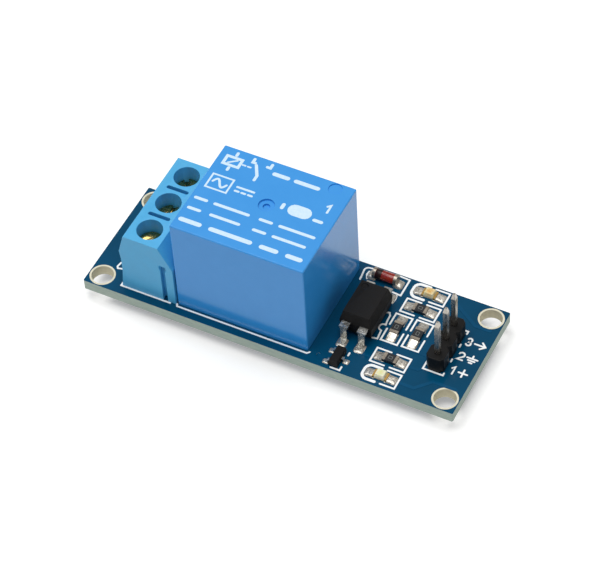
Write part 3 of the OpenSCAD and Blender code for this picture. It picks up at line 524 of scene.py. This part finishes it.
def strip(shape, path, width, low, high, closed=False):
    """A flat strip from level low to level high along a path of (x, y), with rounded free ends."""
    points, half = [Vector(p[:2]) for p in path], width / 2
    halves = [half] * len(points)
    if not closed:
        lean = [radians(a) for a in (80, 55, 28)]  # steps round the quarter circle of an end
        first = (points[0] - points[1]).normalized() * half
        last = (points[-1] - points[-2]).normalized() * half
        head = [points[0] + first * sin(a) for a in lean]
        tail = [points[-1] + last * sin(a) for a in reversed(lean)]
        tapered = [half * cos(a) for a in lean]
        points, halves = head + points + tail, tapered + halves + tapered[::-1]
    rings = []
    for i, point in enumerate(points):
        before = points[i - 1] if i or closed else point
        after = points[(i + 1) % len(points)] if i + 1 < len(points) or closed else point
        come, go = (point - before).normalized(), (after - point).normalized()
        along = (come + go).normalized()
        across = Vector((-along.y, along.x))
        straight = go if go.length else come
        spread = halves[i] / max(across.dot(Vector((-straight.y, straight.x))), 0.5)
        left, right = point + across * spread, point - across * spread
        rings.append([(*left, high), (*right, high), (*right, low), (*left, low)])
    skin(shape, rings + rings[:1] if closed else rings, ends=not closed)


def placed(path, centre, quarters=0):
    """A path moved to a centre and turned by quarter turns."""
    spin = Matrix.Rotation(quarters * pi / 2, 2)
    return [Vector(centre[:2]) + spin @ Vector(p) for p in path]


print("an arc's end:", [round(v, 2) for v in arc((0, 0), 1, 0, 90)[-1]])

# %% [markdown]
# ## Softened mouldings
#
# No moulded edge is truly sharp: the tool has a small radius, and that radius catches a thread of
# light. The solids have sharp edges, so each moulding is copied, its flat faces are merged, and a
# bevel rounds every edge that turns by more than forty degrees.

# %% Mouldings with eased edges
WELD = 0.001  # corners nearer than this are one corner
SAME_PLANE = 0.5  # degrees between faces that are really one flat face
CORNER = 40  # degrees from which an edge is rounded


def eased(node, radius, material):
    """A copy of a node with its sharp edges rounded by a radius in millimetres."""
    shape = bmesh.new()
    shape.from_mesh(frame["nodes"][node].data)
    bmesh.ops.remove_doubles(shape, verts=shape.verts, dist=WELD * MM)
    bmesh.ops.dissolve_limit(
        shape, angle_limit=radians(SAME_PLANE), verts=shape.verts, edges=shape.edges)
    piece = new_piece(node + "_moulding", shape, material, stands_for=[node])
    bevel = piece.modifiers.new("eased_edges", "BEVEL")
    bevel.width = radius * MM
    bevel.segments = 3
    bevel.limit_method = "ANGLE"
    bevel.angle_limit = radians(CORNER)
    bevel.harden_normals = True
    return piece


eased("terminal_housing", 0.12, terminal_polyamide)
eased("opto_body", 0.1, black_epoxy)
eased("transistor_body", 0.06, black_epoxy)
eased("header_insulator", 0.12, header_nylon)

# %% [markdown]
# ## Screw threads
#
# Each clamp screw has a pitch of 0.45 mm, which is also how far its cage climbs in one turn. The
# thread is one surface: its radius rises and falls with height, and the pattern slides round with
# the angle, which makes it a helix. The slotted head is kept from the solid, cut off at its seat.

# %% Threaded clamp screws
THREAD_PITCH = 0.45
THREAD_CREST, THREAD_ROOT = 1.24, 1.0
AROUND, PER_PITCH = 28, 6
SHANK_REACH = 1.3  # what lies nearer to the axis than this belongs to the shank
HEAD_DEPTH = 0.9  # the head is at least this tall
OVERLAP = 0.02  # how far the head's cut reaches down into the thread


def threaded_shank(shape, centre, low, high):
    """A right-hand thread from level low to level high about a vertical axis."""
    rings = []
    levels = round((high - low) / THREAD_PITCH * PER_PITCH)
    for step in range(levels + 1):
        z = low + (high - low) * step / levels
        ring = []
        for i in range(AROUND):
            turn = i / AROUND
            wave = abs(((z / THREAD_PITCH - turn) % 1) * 2 - 1)
            lead_in = min(1, (z - low) / THREAD_PITCH)
            radius = THREAD_ROOT + (THREAD_CREST - THREAD_ROOT) * wave * lead_in
            ring.append((centre.x + radius * cos(turn * 2 * pi), centre.y + radius * sin(turn * 2 * pi), z))
        rings.append(ring)
    skin(shape, rings)


def threaded_screw(number):
    """The head of a clamp screw's solid, with a real thread below it."""
    node = f"clamp_screw_{number}"
    shape = bmesh.new()
    shape.from_mesh(frame["nodes"][node].data)
    bmesh.ops.remove_doubles(shape, verts=shape.verts, dist=WELD * MM)
    low, high = corners(node)
    seat = max(v.co.z for v in shape.verts if v.co.z < (high.z - HEAD_DEPTH) * MM
               and (v.co.xy - middle(node).xy * MM).length < SHANK_REACH * MM)
    cut = bmesh.ops.bisect_plane(
        shape, geom=shape.verts[:] + shape.edges[:] + shape.faces[:], dist=1e-8,
        plane_co=(0, 0, seat - OVERLAP * MM), plane_no=(0, 0, 1), clear_inner=True)
    rim = [e for e in cut["geom_cut"] if isinstance(e, bmesh.types.BMEdge)]
    bmesh.ops.contextual_create(shape, geom=rim)
    threaded_shank(shape, middle(node), low.z, seat / MM)
    new_piece(node + "_threaded", shape, yellow_zinc_with_painted_shade, f"screw_{number}", [node])


for number in (1, 2, 3):
    threaded_screw(number)

# %% [markdown]
# ## Solder
#
# Molten solder pulls itself up the metal it wets and thins out to nothing at the edge of its pad, so
# its surface is hollow against the part and rounded at the rim. On the small parts each pad is a grid
# of points whose height follows that curve. Under the board each joint is the same curve spun round
# its pin. It runs down from the copper ring and leaves the pin's last half millimetre bare.

# %% Solder under the board
FILLET_HEIGHT = 1.05
RING_SPREAD = 0.68  # from the pin to the outside of its copper ring
RING_FOIL = 0.035
RING_EDGE, PIN_EDGE, PIN_CORE = 0.93, 0.8, 0.4  # a share of the ring's reach, then two of the pin's
LIP = 0.05  # the slope starts this far below the board
HOLLOW, SHOULDER = 2.3, 0.9  # powers that bend the slope; with 1 and 1 it is a plain cone
FILLET_STEPS = 8
PINS = (*numbered("terminal_pin", 3), "closed_terminal", "open_terminal", "common_pin",
        *numbered("coil_pin", 2), *numbered("header_pin", 3))


def pin_foot(node):
    """Centre and half diagonal of the pin where it comes out under the board."""
    tip = [v.co / MM for v in frame["nodes"][node].data.vertices if v.co.z < 0.1 * MM]
    low, high = [Vector((end(p.x for p in tip), end(p.y for p in tip), 0)) for end in (min, max)]
    return (low + high) / 2, (high - low).length / 2


def spun(shape, centre, profile, around=28):
    """A surface of revolution about a vertical axis, from (radius, level) points."""
    rings = [[(*p, level) for p in arc(centre, radius, 0, 360, around)[:-1]] for radius, level in profile]
    skin(shape, rings)


shape = bmesh.new()
for pin in PINS:
    foot, reach = pin_foot(pin)
    ring = reach + RING_SPREAD
    profile = [(ring, BOARD_UNDER + 0.02), (ring, BOARD_UNDER - RING_FOIL)]
    for i in range(FILLET_STEPS + 1):
        rise = i / FILLET_STEPS
        radius = reach * PIN_EDGE + (ring * RING_EDGE - reach * PIN_EDGE) * (1 - rise) ** HOLLOW
        profile.append((radius, BOARD_UNDER - LIP - FILLET_HEIGHT * rise ** SHOULDER))
    profile.append((reach * PIN_CORE, BOARD_UNDER - LIP - FILLET_HEIGHT * 1.02))
    spun(shape, foot, profile)
new_piece("solder_fillets", shape, solder_tin, stands_for=["solder_joints"])

# %% Solder pools of the surface-mounted parts
SEAT = 0.049  # solder between a chip's end and its pad
THINNEST = 0.012  # solder at the rim of a pad
CHIP_PAD_WIDTH = 1.42
RESISTOR_CLIMB, LED_CLIMB = 0.36, 0.22  # how far solder climbs the end of a chip
# Along, across and height of the pools at a lead of the optocoupler, the transistor and the diode.
OPTO_POOL, TRANSISTOR_POOL, DIODE_POOL = (1.4, 1.6, 0.2), (0.9, 0.8, 0.15), (1.4, 1.5, 0.42)


def pool(shape, centre, along, across, height, quarters=0, steps=(18, 10)):
    """A pool of solder on a pad; height takes u and v from -1 to 1 along and across the pad."""
    rings = []
    spin = Matrix.Rotation(quarters * pi / 2, 2)
    for i in range(steps[0] + 1):
        u = -1 + 2 * i / steps[0]
        row = []
        for j in range(steps[1] + 1):
            v = -1 + 2 * j / steps[1]
            corner = sqrt(1 - 0.25 * (u * v) ** 4)
            flat = spin @ Vector((u * along / 2 * corner, v * across / 2 * corner))
            rim = (1 - u ** 8) ** 0.5 * (1 - v ** 8) ** 0.5
            level = BOARD_TOP + THINNEST + height(u, v) * rim
            row.append((centre[0] + flat.x, centre[1] + flat.y, level))
        rings.append(row)
    under = [[(x, y, BOARD_TOP - 0.01) for x, y, _ in row] for row in rings]
    loops = [top + bottom[::-1] for top, bottom in zip(rings, under)]
    skin(shape, loops)


def chip_solder(shape, node, rise):
    """Solder at both ends of a chip: a thin seat under it and a hollow slope up its end."""
    centre, quarters = middle(node), quarters_of(node)
    inner, outer, chip_end = 0.55, 2.3, 1.0
    along = outer - inner

    def height(u, v):
        reach = inner + (u + 1) / 2 * along
        if reach < chip_end - 0.02:
            return SEAT - THINNEST
        slope = min(1, (reach - chip_end) / (outer - chip_end))
        swell = 0.16 * sin(pi * slope) ** 0.6 if slope < 1 else 0
        return SEAT + rise * max(0, 1 - slope * 1.5) ** 2 + swell * (1 - 0.3 * v * v)

    for way in (0, 2):
        offset = Matrix.Rotation((quarters + way) * pi / 2, 2) @ Vector(((inner + outer) / 2, 0))
        pool(shape, centre.xy + offset, along, CHIP_PAD_WIDTH, height, quarters + way)


def round_pool(shape, centre, along, across, rise):
    """A low dome of solder."""
    pool(shape, centre, along, across, lambda u, v: rise * (1 - 0.5 * u * u) * (1 - 0.5 * v * v),
         steps=(10, 10))


print("solder is", SEAT, "mm thick under a chip and", THINNEST, "mm at the rim of its pad")

# %% Solder at every chip and lead
shape = bmesh.new()
for chip in numbered("resistor", 4):
    chip_solder(shape, chip, RESISTOR_CLIMB)
for chip in ("led_1_base", "led_2_base"):
    chip_solder(shape, chip, LED_CLIMB)
for lead in numbered("opto_lead", 4):
    low, high = corners(lead)
    outward = 1 if low.y > middle("opto_body").y else -1
    tip = high.y if outward > 0 else low.y
    round_pool(shape, (middle(lead).x, tip - outward * 0.45), *OPTO_POOL)
centre, spread = middle("transistor_leads"), size("transistor_leads")
for side, y in ((-1, -1), (-1, 1), (1, 0)):
    spot = (centre.x + side * (spread.x / 2 - 0.1), centre.y + y * (spread.y - 0.45) / 2)
    round_pool(shape, spot, *TRANSISTOR_POOL)
for cap, side, end in (("diode_cap_1", -1, 0), ("diode_cap_2", 1, 1)):
    round_pool(shape, (corners(cap)[end].x + side * 0.15, middle(cap).y), *DIODE_POOL)
new_piece("solder_pools", shape, solder_tin, stands_for=["solder_pads"])

# %% [markdown]
# ## Copper under the mask
#
# Copper tracks lie under the blue mask and lift it by the thickness of the foil. The mask looks
# lighter over copper than over bare laminate. Each track is a strip with rounded ends, wide where the
# relay switches a load and narrow where a signal runs.

# %% Copper tracks
FOIL = 0.035
LOAD_TRACK, COIL_TRACK, GROUND_TRACK, LED_TRACK, SIGNAL_TRACK = 2.8, 0.8, 0.6, 0.5, 0.4
# The same blue mask as the board's, a shade lighter and as glossy.
track_mask = mottled("solder_mask_over_copper_foil", "#003F5E", "#005078", 4, (0.14, 0.2),
                     IOR=1.5, Specular_IOR_Level=0.25)


def pin_place(node):
    """Where a pin passes through the board, as x and y."""
    return pin_foot(node)[0].xy


def tracks(name, routes, surface, outward):
    """One piece of tracks on a face of the board: routes are (width, path) pairs."""
    shape = bmesh.new()
    for width, path in routes:
        strip(shape, path, width, surface, surface + outward * FOIL)
    new_piece(name, shape, track_mask)


def elbow(start, end):
    """A path between two points that leaves straight along X and arrives on a slant."""
    start, end = Vector(start), Vector(end)
    drop = end.y - start.y
    turn = end.x - (abs(drop) if end.x > start.x else -abs(drop))
    return [start, (turn, start.y), end]


def beside(node, *steps):
    """Places on the board, each so many millimetres from the middle of a node."""
    return [middle(node).xy + Vector(step) for step in steps]


print("foil of", FOIL, "mm, in tracks from", SIGNAL_TRACK, "to", LOAD_TRACK, "mm wide")

# %% Routes of the tracks
# The tracks end at pins and at the pads of chips, and two pass through the board in a via.
via_front, via_back = beside("transistor_body", (-2.6, -0.3)), beside("resistor_2", (-1.2, 2.6))
under_routes = [
    (LOAD_TRACK, [pin_place("terminal_pin_1"), pin_place("open_terminal")]),
    (LOAD_TRACK, [pin_place("terminal_pin_3"), pin_place("closed_terminal")]),
    (LOAD_TRACK, [pin_place("terminal_pin_2"), pin_place("common_pin")]),
    (COIL_TRACK, elbow(pin_place("coil_pin_1"), *via_front)),
    (COIL_TRACK, elbow(pin_place("coil_pin_2"), *via_back)),
    (COIL_TRACK, elbow(*via_back, pin_place("header_pin_3"))),
    (COIL_TRACK, elbow(*via_front, *beside("header_pin_1", (-2.15, -2.26))) + [pin_place("header_pin_1")]),
    (GROUND_TRACK, beside("header_pin_2", (-9.75, -0.6), (-3.55, -0.6), (0, 0))),
]
tracks("tracks_under", under_routes, BOARD_UNDER, -1)
over_routes = [
    (SIGNAL_TRACK, elbow(*beside("resistor_1", (2.225, 0)), pin_place("header_pin_3"))),
    (SIGNAL_TRACK, elbow(*beside("resistor_4", (2.225, 0)), pin_place("header_pin_1"))),
    (SIGNAL_TRACK, elbow(*beside("resistor_3", (0, -2.5)), pin_place("header_pin_2"))),
    (SIGNAL_TRACK, elbow(*beside("resistor_2", (-1.15, 2.55)), *beside("resistor_1", (-1.575, 0)))),
    (SIGNAL_TRACK, elbow(*beside("opto_lead_3", (0.03, -1.375)), *beside("resistor_4", (-2.075, 0)))),
    (SIGNAL_TRACK, beside("transistor_body", (-2.6, -0.3), (-2.1, -0.6), (-1.1, -0.8))),
    (SIGNAL_TRACK, beside("diode_glass", (2.25, 0)) + beside("led_1_base", (-2.775, 0), (-1.975, 0))),
    (LED_TRACK, beside("led_1_base", (2.325, 0), (3.925, 0))
        + beside("header_pin_3", (1.75, 2.66), (3.85, 2.66))),
    (LED_TRACK, beside("led_2_base", (2.325, 0), (4.625, 0))
        + beside("header_pin_1", (0.65, -2.86), (3.85, -2.86))),
    (SIGNAL_TRACK, beside("resistor_2", (0, -2.4), (0, -3.7), (-0.9, -4.4))),
]
tracks("tracks_over", over_routes, BOARD_TOP, 1)

# %% [markdown]
# ## White ink
#
# The board's legend is screen printed in white epoxy ink: frames round the small parts, and a mark at
# each pin. The relay's case is pad printed with a thinner ink, through which a little of its blue
# shows. Both are real films with a real thickness, drawn as thin strips. The wording of a real board
# is not repeated here: plain numbers, common circuit signs and bars stand in its place.

# %% White ink, figures and signs
# Opaque, flat white with the fine grain of the printing mesh.
white_ink = mottled("white_epoxy_ink", "#F2F6F5", "#FFFFFF", 0.3, (0.4, 0.55), depth=0.002)
# Pale blue where the film is thinnest and nearly white where it is thick.
thin_ink = mottled("pad_printed_thin_white_ink", "#B9DDF5", "#E2F2FC", 0.25, (0.4, 0.55), depth=0.002)
INK_FILM = 0.015
INK_STEP = 0.002
LINE = 0.24  # the legend's usual line
CUT_CORNER, HEAVY_LINE = 0.8, 0.4  # the rounded, heavier end of the frame round a chip LED
CAP_HEIGHT = 1.2  # of the figures at the pins
SIGN_STEP = 1.15  # from a figure to the sign beside it

# Figures and signs in units of their height, as strokes from the lower left corner.
ONE = [(0.12, 0.74), (0.4, 1), (0.4, 0)]
TWO = [*arc((0.32, 0.69), 0.31, 165, -38, 9), (0, 0), (0.64, 0)]
THREE = [*arc((0.3, 0.75), 0.25, 150, -90, 8), *arc((0.3, 0.26), 0.27, 88, -150, 9)]
PLUS = [[(0, 0.5), (1, 0.5)], [(0.5, 0), (0.5, 1)]]
EARTH = [[(0.6, 1), (0.6, 0.62)], [(0, 0.62), (1.2, 0.62)], [(0.22, 0.32), (0.98, 0.32)],
         [(0.44, 0.02), (0.76, 0.02)]]
ARROW = [[(0, 0.5), (1.2, 0.5)], [(0.75, 0.95), (1.25, 0.5), (0.75, 0.05)]]


def ink(shape, path, width=LINE, step=0):
    """A printed line on the board, thick enough to pass over a track."""
    strip(shape, path, width, BOARD_TOP, BOARD_TOP + FOIL + INK_FILM + step * INK_STEP)


def write(shape, strokes, corner):
    """Draws strokes given in units of their height, from the lower left corner.

    Each stroke is a hair thicker than the one before it, so that crossing faces never coincide.
    """
    for step, stroke in enumerate(strokes):
        path = [(corner[0] + x * CAP_HEIGHT, corner[1] + y * CAP_HEIGHT) for x, y in stroke]
        ink(shape, path, step=step)


print("an ink film of", INK_FILM, "mm and a usual line of", LINE, "mm")

# %% The board's legend


def frame_chip(shape, node, cut=0, heavy=LINE):
    """Two brackets round a chip, open in the middle of its long sides."""
    centre, quarters = middle(node), quarters_of(node)
    half_l, half_w, gap = 2.4, 1.17, 0.4
    first = [(-gap, half_w), *arc((cut - half_l, half_w - cut), cut, 90, 180, 4),
             *arc((cut - half_l, cut - half_w), cut, 180, 270, 4), (-gap, -half_w)]
    second = [(gap, half_w), (half_l, half_w), (half_l, -half_w), (gap, -half_w)]
    if not cut:
        first = [first[0], (-half_l, half_w), (-half_l, -half_w), first[-1]]
    ink(shape, placed(first, centre, quarters), heavy)
    ink(shape, placed(second, centre, quarters))


def board_legend():
    """Every white line on the board, measured from the parts that it frames."""
    shape = bmesh.new()

    def draw(path):
        ink(shape, path)

    for chip in numbered("resistor", 4):
        frame_chip(shape, chip)
    for chip in ("led_1_base", "led_2_base"):
        frame_chip(shape, chip, cut=CUT_CORNER, heavy=HEAVY_LINE)

    low, high = corners("terminal_housing")
    front = low.y - 0.15
    draw([(low.x - 0.15, front + 0.7), (low.x - 0.15, front), (low.x + 7.2, front)])
    draw([(low.x - 2.05, low.y + 3.3), (low.x - 2.2, low.y + 2.55), (low.x - 2.0, low.y + 2.25),
          (low.x - 1.3, low.y + 2.45)])
    low, high = corners("relay_cover")
    draw([(low.x - 0.1, low.y - 0.1), (low.x + 0.1, low.y - 0.45), (high.x + 0.05, low.y - 0.45),
          (high.x + 0.35, low.y - 0.15)])

    low, high = corners("opto_body")
    notch = arc((high.x + 0.16, middle("opto_body").y - 0.2), 0.55, 75, 270)
    draw([(high.x - 0.7, high.y - 1.05), (high.x - 0.1, high.y - 0.85), (high.x + 0.15, high.y - 1.3),
          (high.x + 0.2, high.y - 2.25), *notch, (high.x + 0.3, low.y + 1.05),
          (high.x - 0.3, low.y + 0.95), (high.x - 1.0, low.y + 0.95)])
    draw([(high.x - 0.5, high.y + 2.1), (high.x - 0.4, high.y + 1.5), (high.x - 0.45, high.y + 1.15)])

    centre, half = middle("diode_glass"), 1.38
    left, right = centre.x - 3.35, centre.x + 2.9
    draw([(left + 1.6, centre.y + 1.15), *arc((left + 0.6, centre.y + 0.45), 0.6, 100, 180, 5),
          (left + 0.2, centre.y - 1.25)])
    draw([(right - 1.5, centre.y + half), (right, centre.y + half - 0.1), (right, centre.y - 1.6),
          (right - 1.3, centre.y - 1.5)])
    draw([(left + 0.75, centre.y + 0.45), (left + 0.65, centre.y - 0.1), (left + 0.95, centre.y - 0.75)])

    low, high = corners("transistor_body")
    draw([(low.x + 0.4, low.y - 0.15), (high.x + 0.4, low.y - 0.15), (high.x + 0.4, low.y + 0.45)])
    draw([(high.x + 0.35, high.y - 0.4), (high.x + 0.35, high.y + 0.05)])

    low, high = corners("header_insulator")
    draw([(high.x + 0.1, high.y - 0.3), (high.x + 0.1, high.y + 0.15), (low.x - 0.2, high.y + 0.15),
          (low.x - 0.2, low.y - 0.15), (high.x + 0.1, low.y - 0.15), (high.x + 0.1, low.y + 0.2)])
    pitch = middle("header_pin_2").y - middle("header_pin_1").y
    for tick in (-0.5, 0.55):
        draw([(high.x + 0.1, tick * pitch - 0.22), (high.x + 0.1, tick * pitch + 0.22)])
    signs = ((ONE, PLUS), (TWO, EARTH), (THREE, ARROW))
    for pin, (figure, sign) in enumerate(signs, 1):
        corner = (high.x + 0.55, middle(f"header_pin_{pin}").y - CAP_HEIGHT / 2 - 0.1)
        write(shape, [figure], corner)
        write(shape, sign, (corner[0] + SIGN_STEP, corner[1]))
    new_piece("board_legend", shape, white_ink)


board_legend()

# %% [markdown]
# ## The print on the relay
#
# A relay's case carries its wiring, as a coil and a changeover contact, and lines of small print. Here
# the wiring is the common circuit sign for such a relay, the alternating and direct current signs
# follow it, and the lines of print are bars of the same height and length as lines of figures. All
# places are in millimetres from the middle of the case.

# %% Relay print
HEAVY, MEDIUM, LIGHT = 0.42, 0.32, 0.26  # widths of the print's lines
SMALL_BAR, LARGE_BAR = 0.46, 0.68  # bars that stand for small and large print
FIGURE_HEIGHT = 1.3


def relay_print():
    """The coil and contact sign, two current signs, a figure, and bars for lines of print."""
    shape = bmesh.new()
    centre = middle("relay_cover")
    level = corners("relay_cover")[1].z

    def draw(path, width, closed=False):
        strip(shape, placed(path, centre), width, level, level + INK_FILM, closed)

    coil = [(-8.3, 4.75), (-6.1, 4.75), (-6.1, 6.15), (-8.3, 6.15)]
    draw(coil, HEAVY, closed=True)
    draw([(-7.75, 5.05), (-6.65, 5.85)], LIGHT)
    for end, way in ((6.15, 1), (4.75, -1)):
        draw([(-7.2, end + way * 0.45), (-7.2, end + way * 0.85)], HEAVY)
    for dash in range(2):
        draw([(-5.75 + dash * 0.75, 5.45), (-5.35 + dash * 0.75, 5.45)], LIGHT)
    draw([(-3.2, 3.7), (-3.2, 4.5), (-4.1, 6.1)], HEAVY)
    draw([(-4.75, 7.0), (-4.75, 6.4), (-4.4, 6.4)], HEAVY)
    draw([(-2.2, 7.0), (-2.2, 6.4), (-2.65, 6.4)], HEAVY)

    for left, right in ((-1.5, 0.9), (1.6, 5.2)):
        draw([(left + 0.25, 5.7), (right - 0.25, 5.7)], 0.62)

    box = [(-8.5, 0.2), (-5.5, 0.2), (-5.5, 2.6), (-8.5, 2.6)]
    draw(box, LIGHT, closed=True)
    wave = [(-8.0 + 2.0 * i / 16, 1.4 + 0.6 * sin(2 * pi * i / 16)) for i in range(17)]
    draw(wave, MEDIUM)
    draw([(-4.6, 1.75), (-2.2, 1.75)], MEDIUM)
    for dash in range(3):
        draw([(-4.6 + dash * 0.95, 1.05), (-4.1 + dash * 0.95, 1.05)], MEDIUM)

    draw([(2.2, 0.9), (2.2, 1.5)], 0.5)
    draw([(3.9, 1.2), (5.3, 1.2)], 1.9)
    draw([(6.9, 0.7), (7.9, 0.7)], 0.5)
    figure = [(7.3 + x * FIGURE_HEIGHT, 2.5 + y * FIGURE_HEIGHT) for x, y in ONE]
    draw(figure, MEDIUM)

    rows = (
        (-2.0, SMALL_BAR, ((-8.9, -6.9), (-6.1, -0.9), (0.4, 2.4), (3.2, 8.4))),
        (-3.9, SMALL_BAR, ((-8.9, -6.9), (-5.7, -1.3), (0.4, 2.4), (3.2, 8.0))),
        (-6.05, LARGE_BAR, ((-9.0, -5.7), (-4.7, 1.5), (2.5, 5.2), (6.2, 8.6))),
    )
    for row, thick, words in rows:
        for left, right in words:
            draw([(left + thick / 2, row), (right - thick / 2, row)], thick)
    new_piece("relay_print", shape, thin_ink)


relay_print()

# %% [markdown]
# ## Small marks
#
# The diode's cathode end has a painted band, and each resistor has a small grey mark on its glaze.

# %% Cathode band and resistor marks
# Baked paint, nearly black, with the red of the glass in its brown.
band_paint = mottled("dark_band_paint", "#1A0A08", "#2E1511", 0.3, (0.3, 0.45), Specular_IOR_Level=0.3)
# A grey that is only just lighter than the glaze under it.
marking_ink = mottled("grey_marking_ink", "#5F625F", "#7C7F7B", 0.2, (0.4, 0.55))
BAND = (0.02, 0.85)  # from the end of the glass
BAND_EDGE, BAND_FILM, BAND_TAPER = 0.002, 0.014, 0.02
MARK_LINE, MARK_FILM = 0.07, 0.008


def cathode_band():
    """A ring of paint round the glass, thinned out at both edges."""
    shape = bmesh.new()
    low, high = corners("diode_glass")
    centre, radius = middle("diode_glass"), (high.z - low.z) / 2
    profile = ((BAND_EDGE, BAND[0]), (BAND_FILM, BAND[0] + BAND_TAPER),
               (BAND_FILM, BAND[1] - BAND_TAPER), (BAND_EDGE, BAND[1]))
    rings = [[(low.x + x, *p) for p in arc(centre.yz, radius + thick, 0, 360, 32)[:-1]]
             for thick, x in profile]
    skin(shape, rings + rings[:1], ends=False)
    new_piece("cathode_band", shape, band_paint)


def resistor_marks():
    """A small open square in the middle of each resistor."""
    shape = bmesh.new()
    for chip in numbered("resistor", 4):
        top = corners(chip)[1].z
        box = placed([(-0.26, -0.2), (0.26, -0.2), (0.26, 0.2), (-0.26, 0.2)],
                     middle(chip), quarters_of(chip))
        strip(shape, box, MARK_LINE, top, top + MARK_FILM, closed=True)
    new_piece("resistor_marks", shape, marking_ink)


cathode_band()
resistor_marks()

# %% [markdown]
# ## Studio
#
# One soft lamp hangs nearly overhead, a little to the left. It is kept off the line along which the
# glossy tops would mirror it towards the camera, and the sky is dim, so the board keeps its deep
# blue. The floor is pale paper, which throws light back on the upright faces. To the eye, and in
# glass, gloss and metal, it is made white by a little light of its own, and its shadow stays.

# %% Floor, lamp and sky
FLOOR_LIFT = 0.3
SKY = 0.34
FLOOR_REACH = 1.5  # metres from the middle to an edge
PAPER_FIBRE = 8


def studio_floor():
    """White paper under the board. Its own light is seen, also in a reflection, but lights nothing."""
    shape = bmesh.new()
    bmesh.ops.create_grid(shape, x_segments=1, y_segments=1, size=FLOOR_REACH)
    mesh = bpy.data.meshes.new("floor")
    shape.to_mesh(mesh)
    shape.free()
    floor = put("floor", mesh)
    material, shader = new_material("white_paper_sweep", {
        "Roughness": 0.9, "IOR": 1.3, "Emission Color": "#FFFFFF"})
    place = add(material, "TexCoord").outputs["Object"]
    fibre = add(material, "TexNoise", {"Vector": place, "Scale": 1 / (PAPER_FIBRE * MM)})
    tone = add(material, "MixRGB", {"Fac": fibre, "Color1": "#E4E4E3", "Color2": "#EAEAE9"})
    ray = add(material, "LightPath")
    direct = add(material, "Math", {
        0: ray.outputs["Is Camera Ray"], 1: ray.outputs["Is Transmission Ray"]}, operation="MAXIMUM")
    seen = add(material, "Math", {0: direct, 1: ray.outputs["Is Glossy Ray"]}, operation="MAXIMUM")
    glow = add(material, "Math", {0: seen, 1: FLOOR_LIFT}, operation="MULTIPLY")
    feed(material, shader, Base_Color=tone, Emission_Strength=glow)
    mesh.materials.append(material)


def lamp(name, place, width, height, power):
    """A soft rectangular lamp that faces the middle of the board."""
    light = bpy.data.lights.new(name, "AREA")
    light.shape = "RECTANGLE"
    light.size, light.size_y, light.energy = width, height, power
    thing = put(name, light)
    thing.location = place
    thing.rotation_euler = (AIM - Vector(place)).to_track_quat("-Z", "Y").to_euler()


studio_floor()
lamp("overhead_softbox", place=(-0.12, -0.02, 0.9), width=0.8, height=0.8, power=7.4)
world = bpy.data.worlds.new("studio_sky")
bpy.context.scene.world = world
world.use_nodes = True
world.node_tree.nodes["Background"].inputs["Strength"].default_value = SKY
world.node_tree.nodes["Background"].inputs["Color"].default_value = (1, 1, 1, 1)
bpy.context.scene.view_settings.view_transform = "Standard"
print("a lamp of", bpy.data.lights["overhead_softbox"].energy, "W and a sky of", SKY)
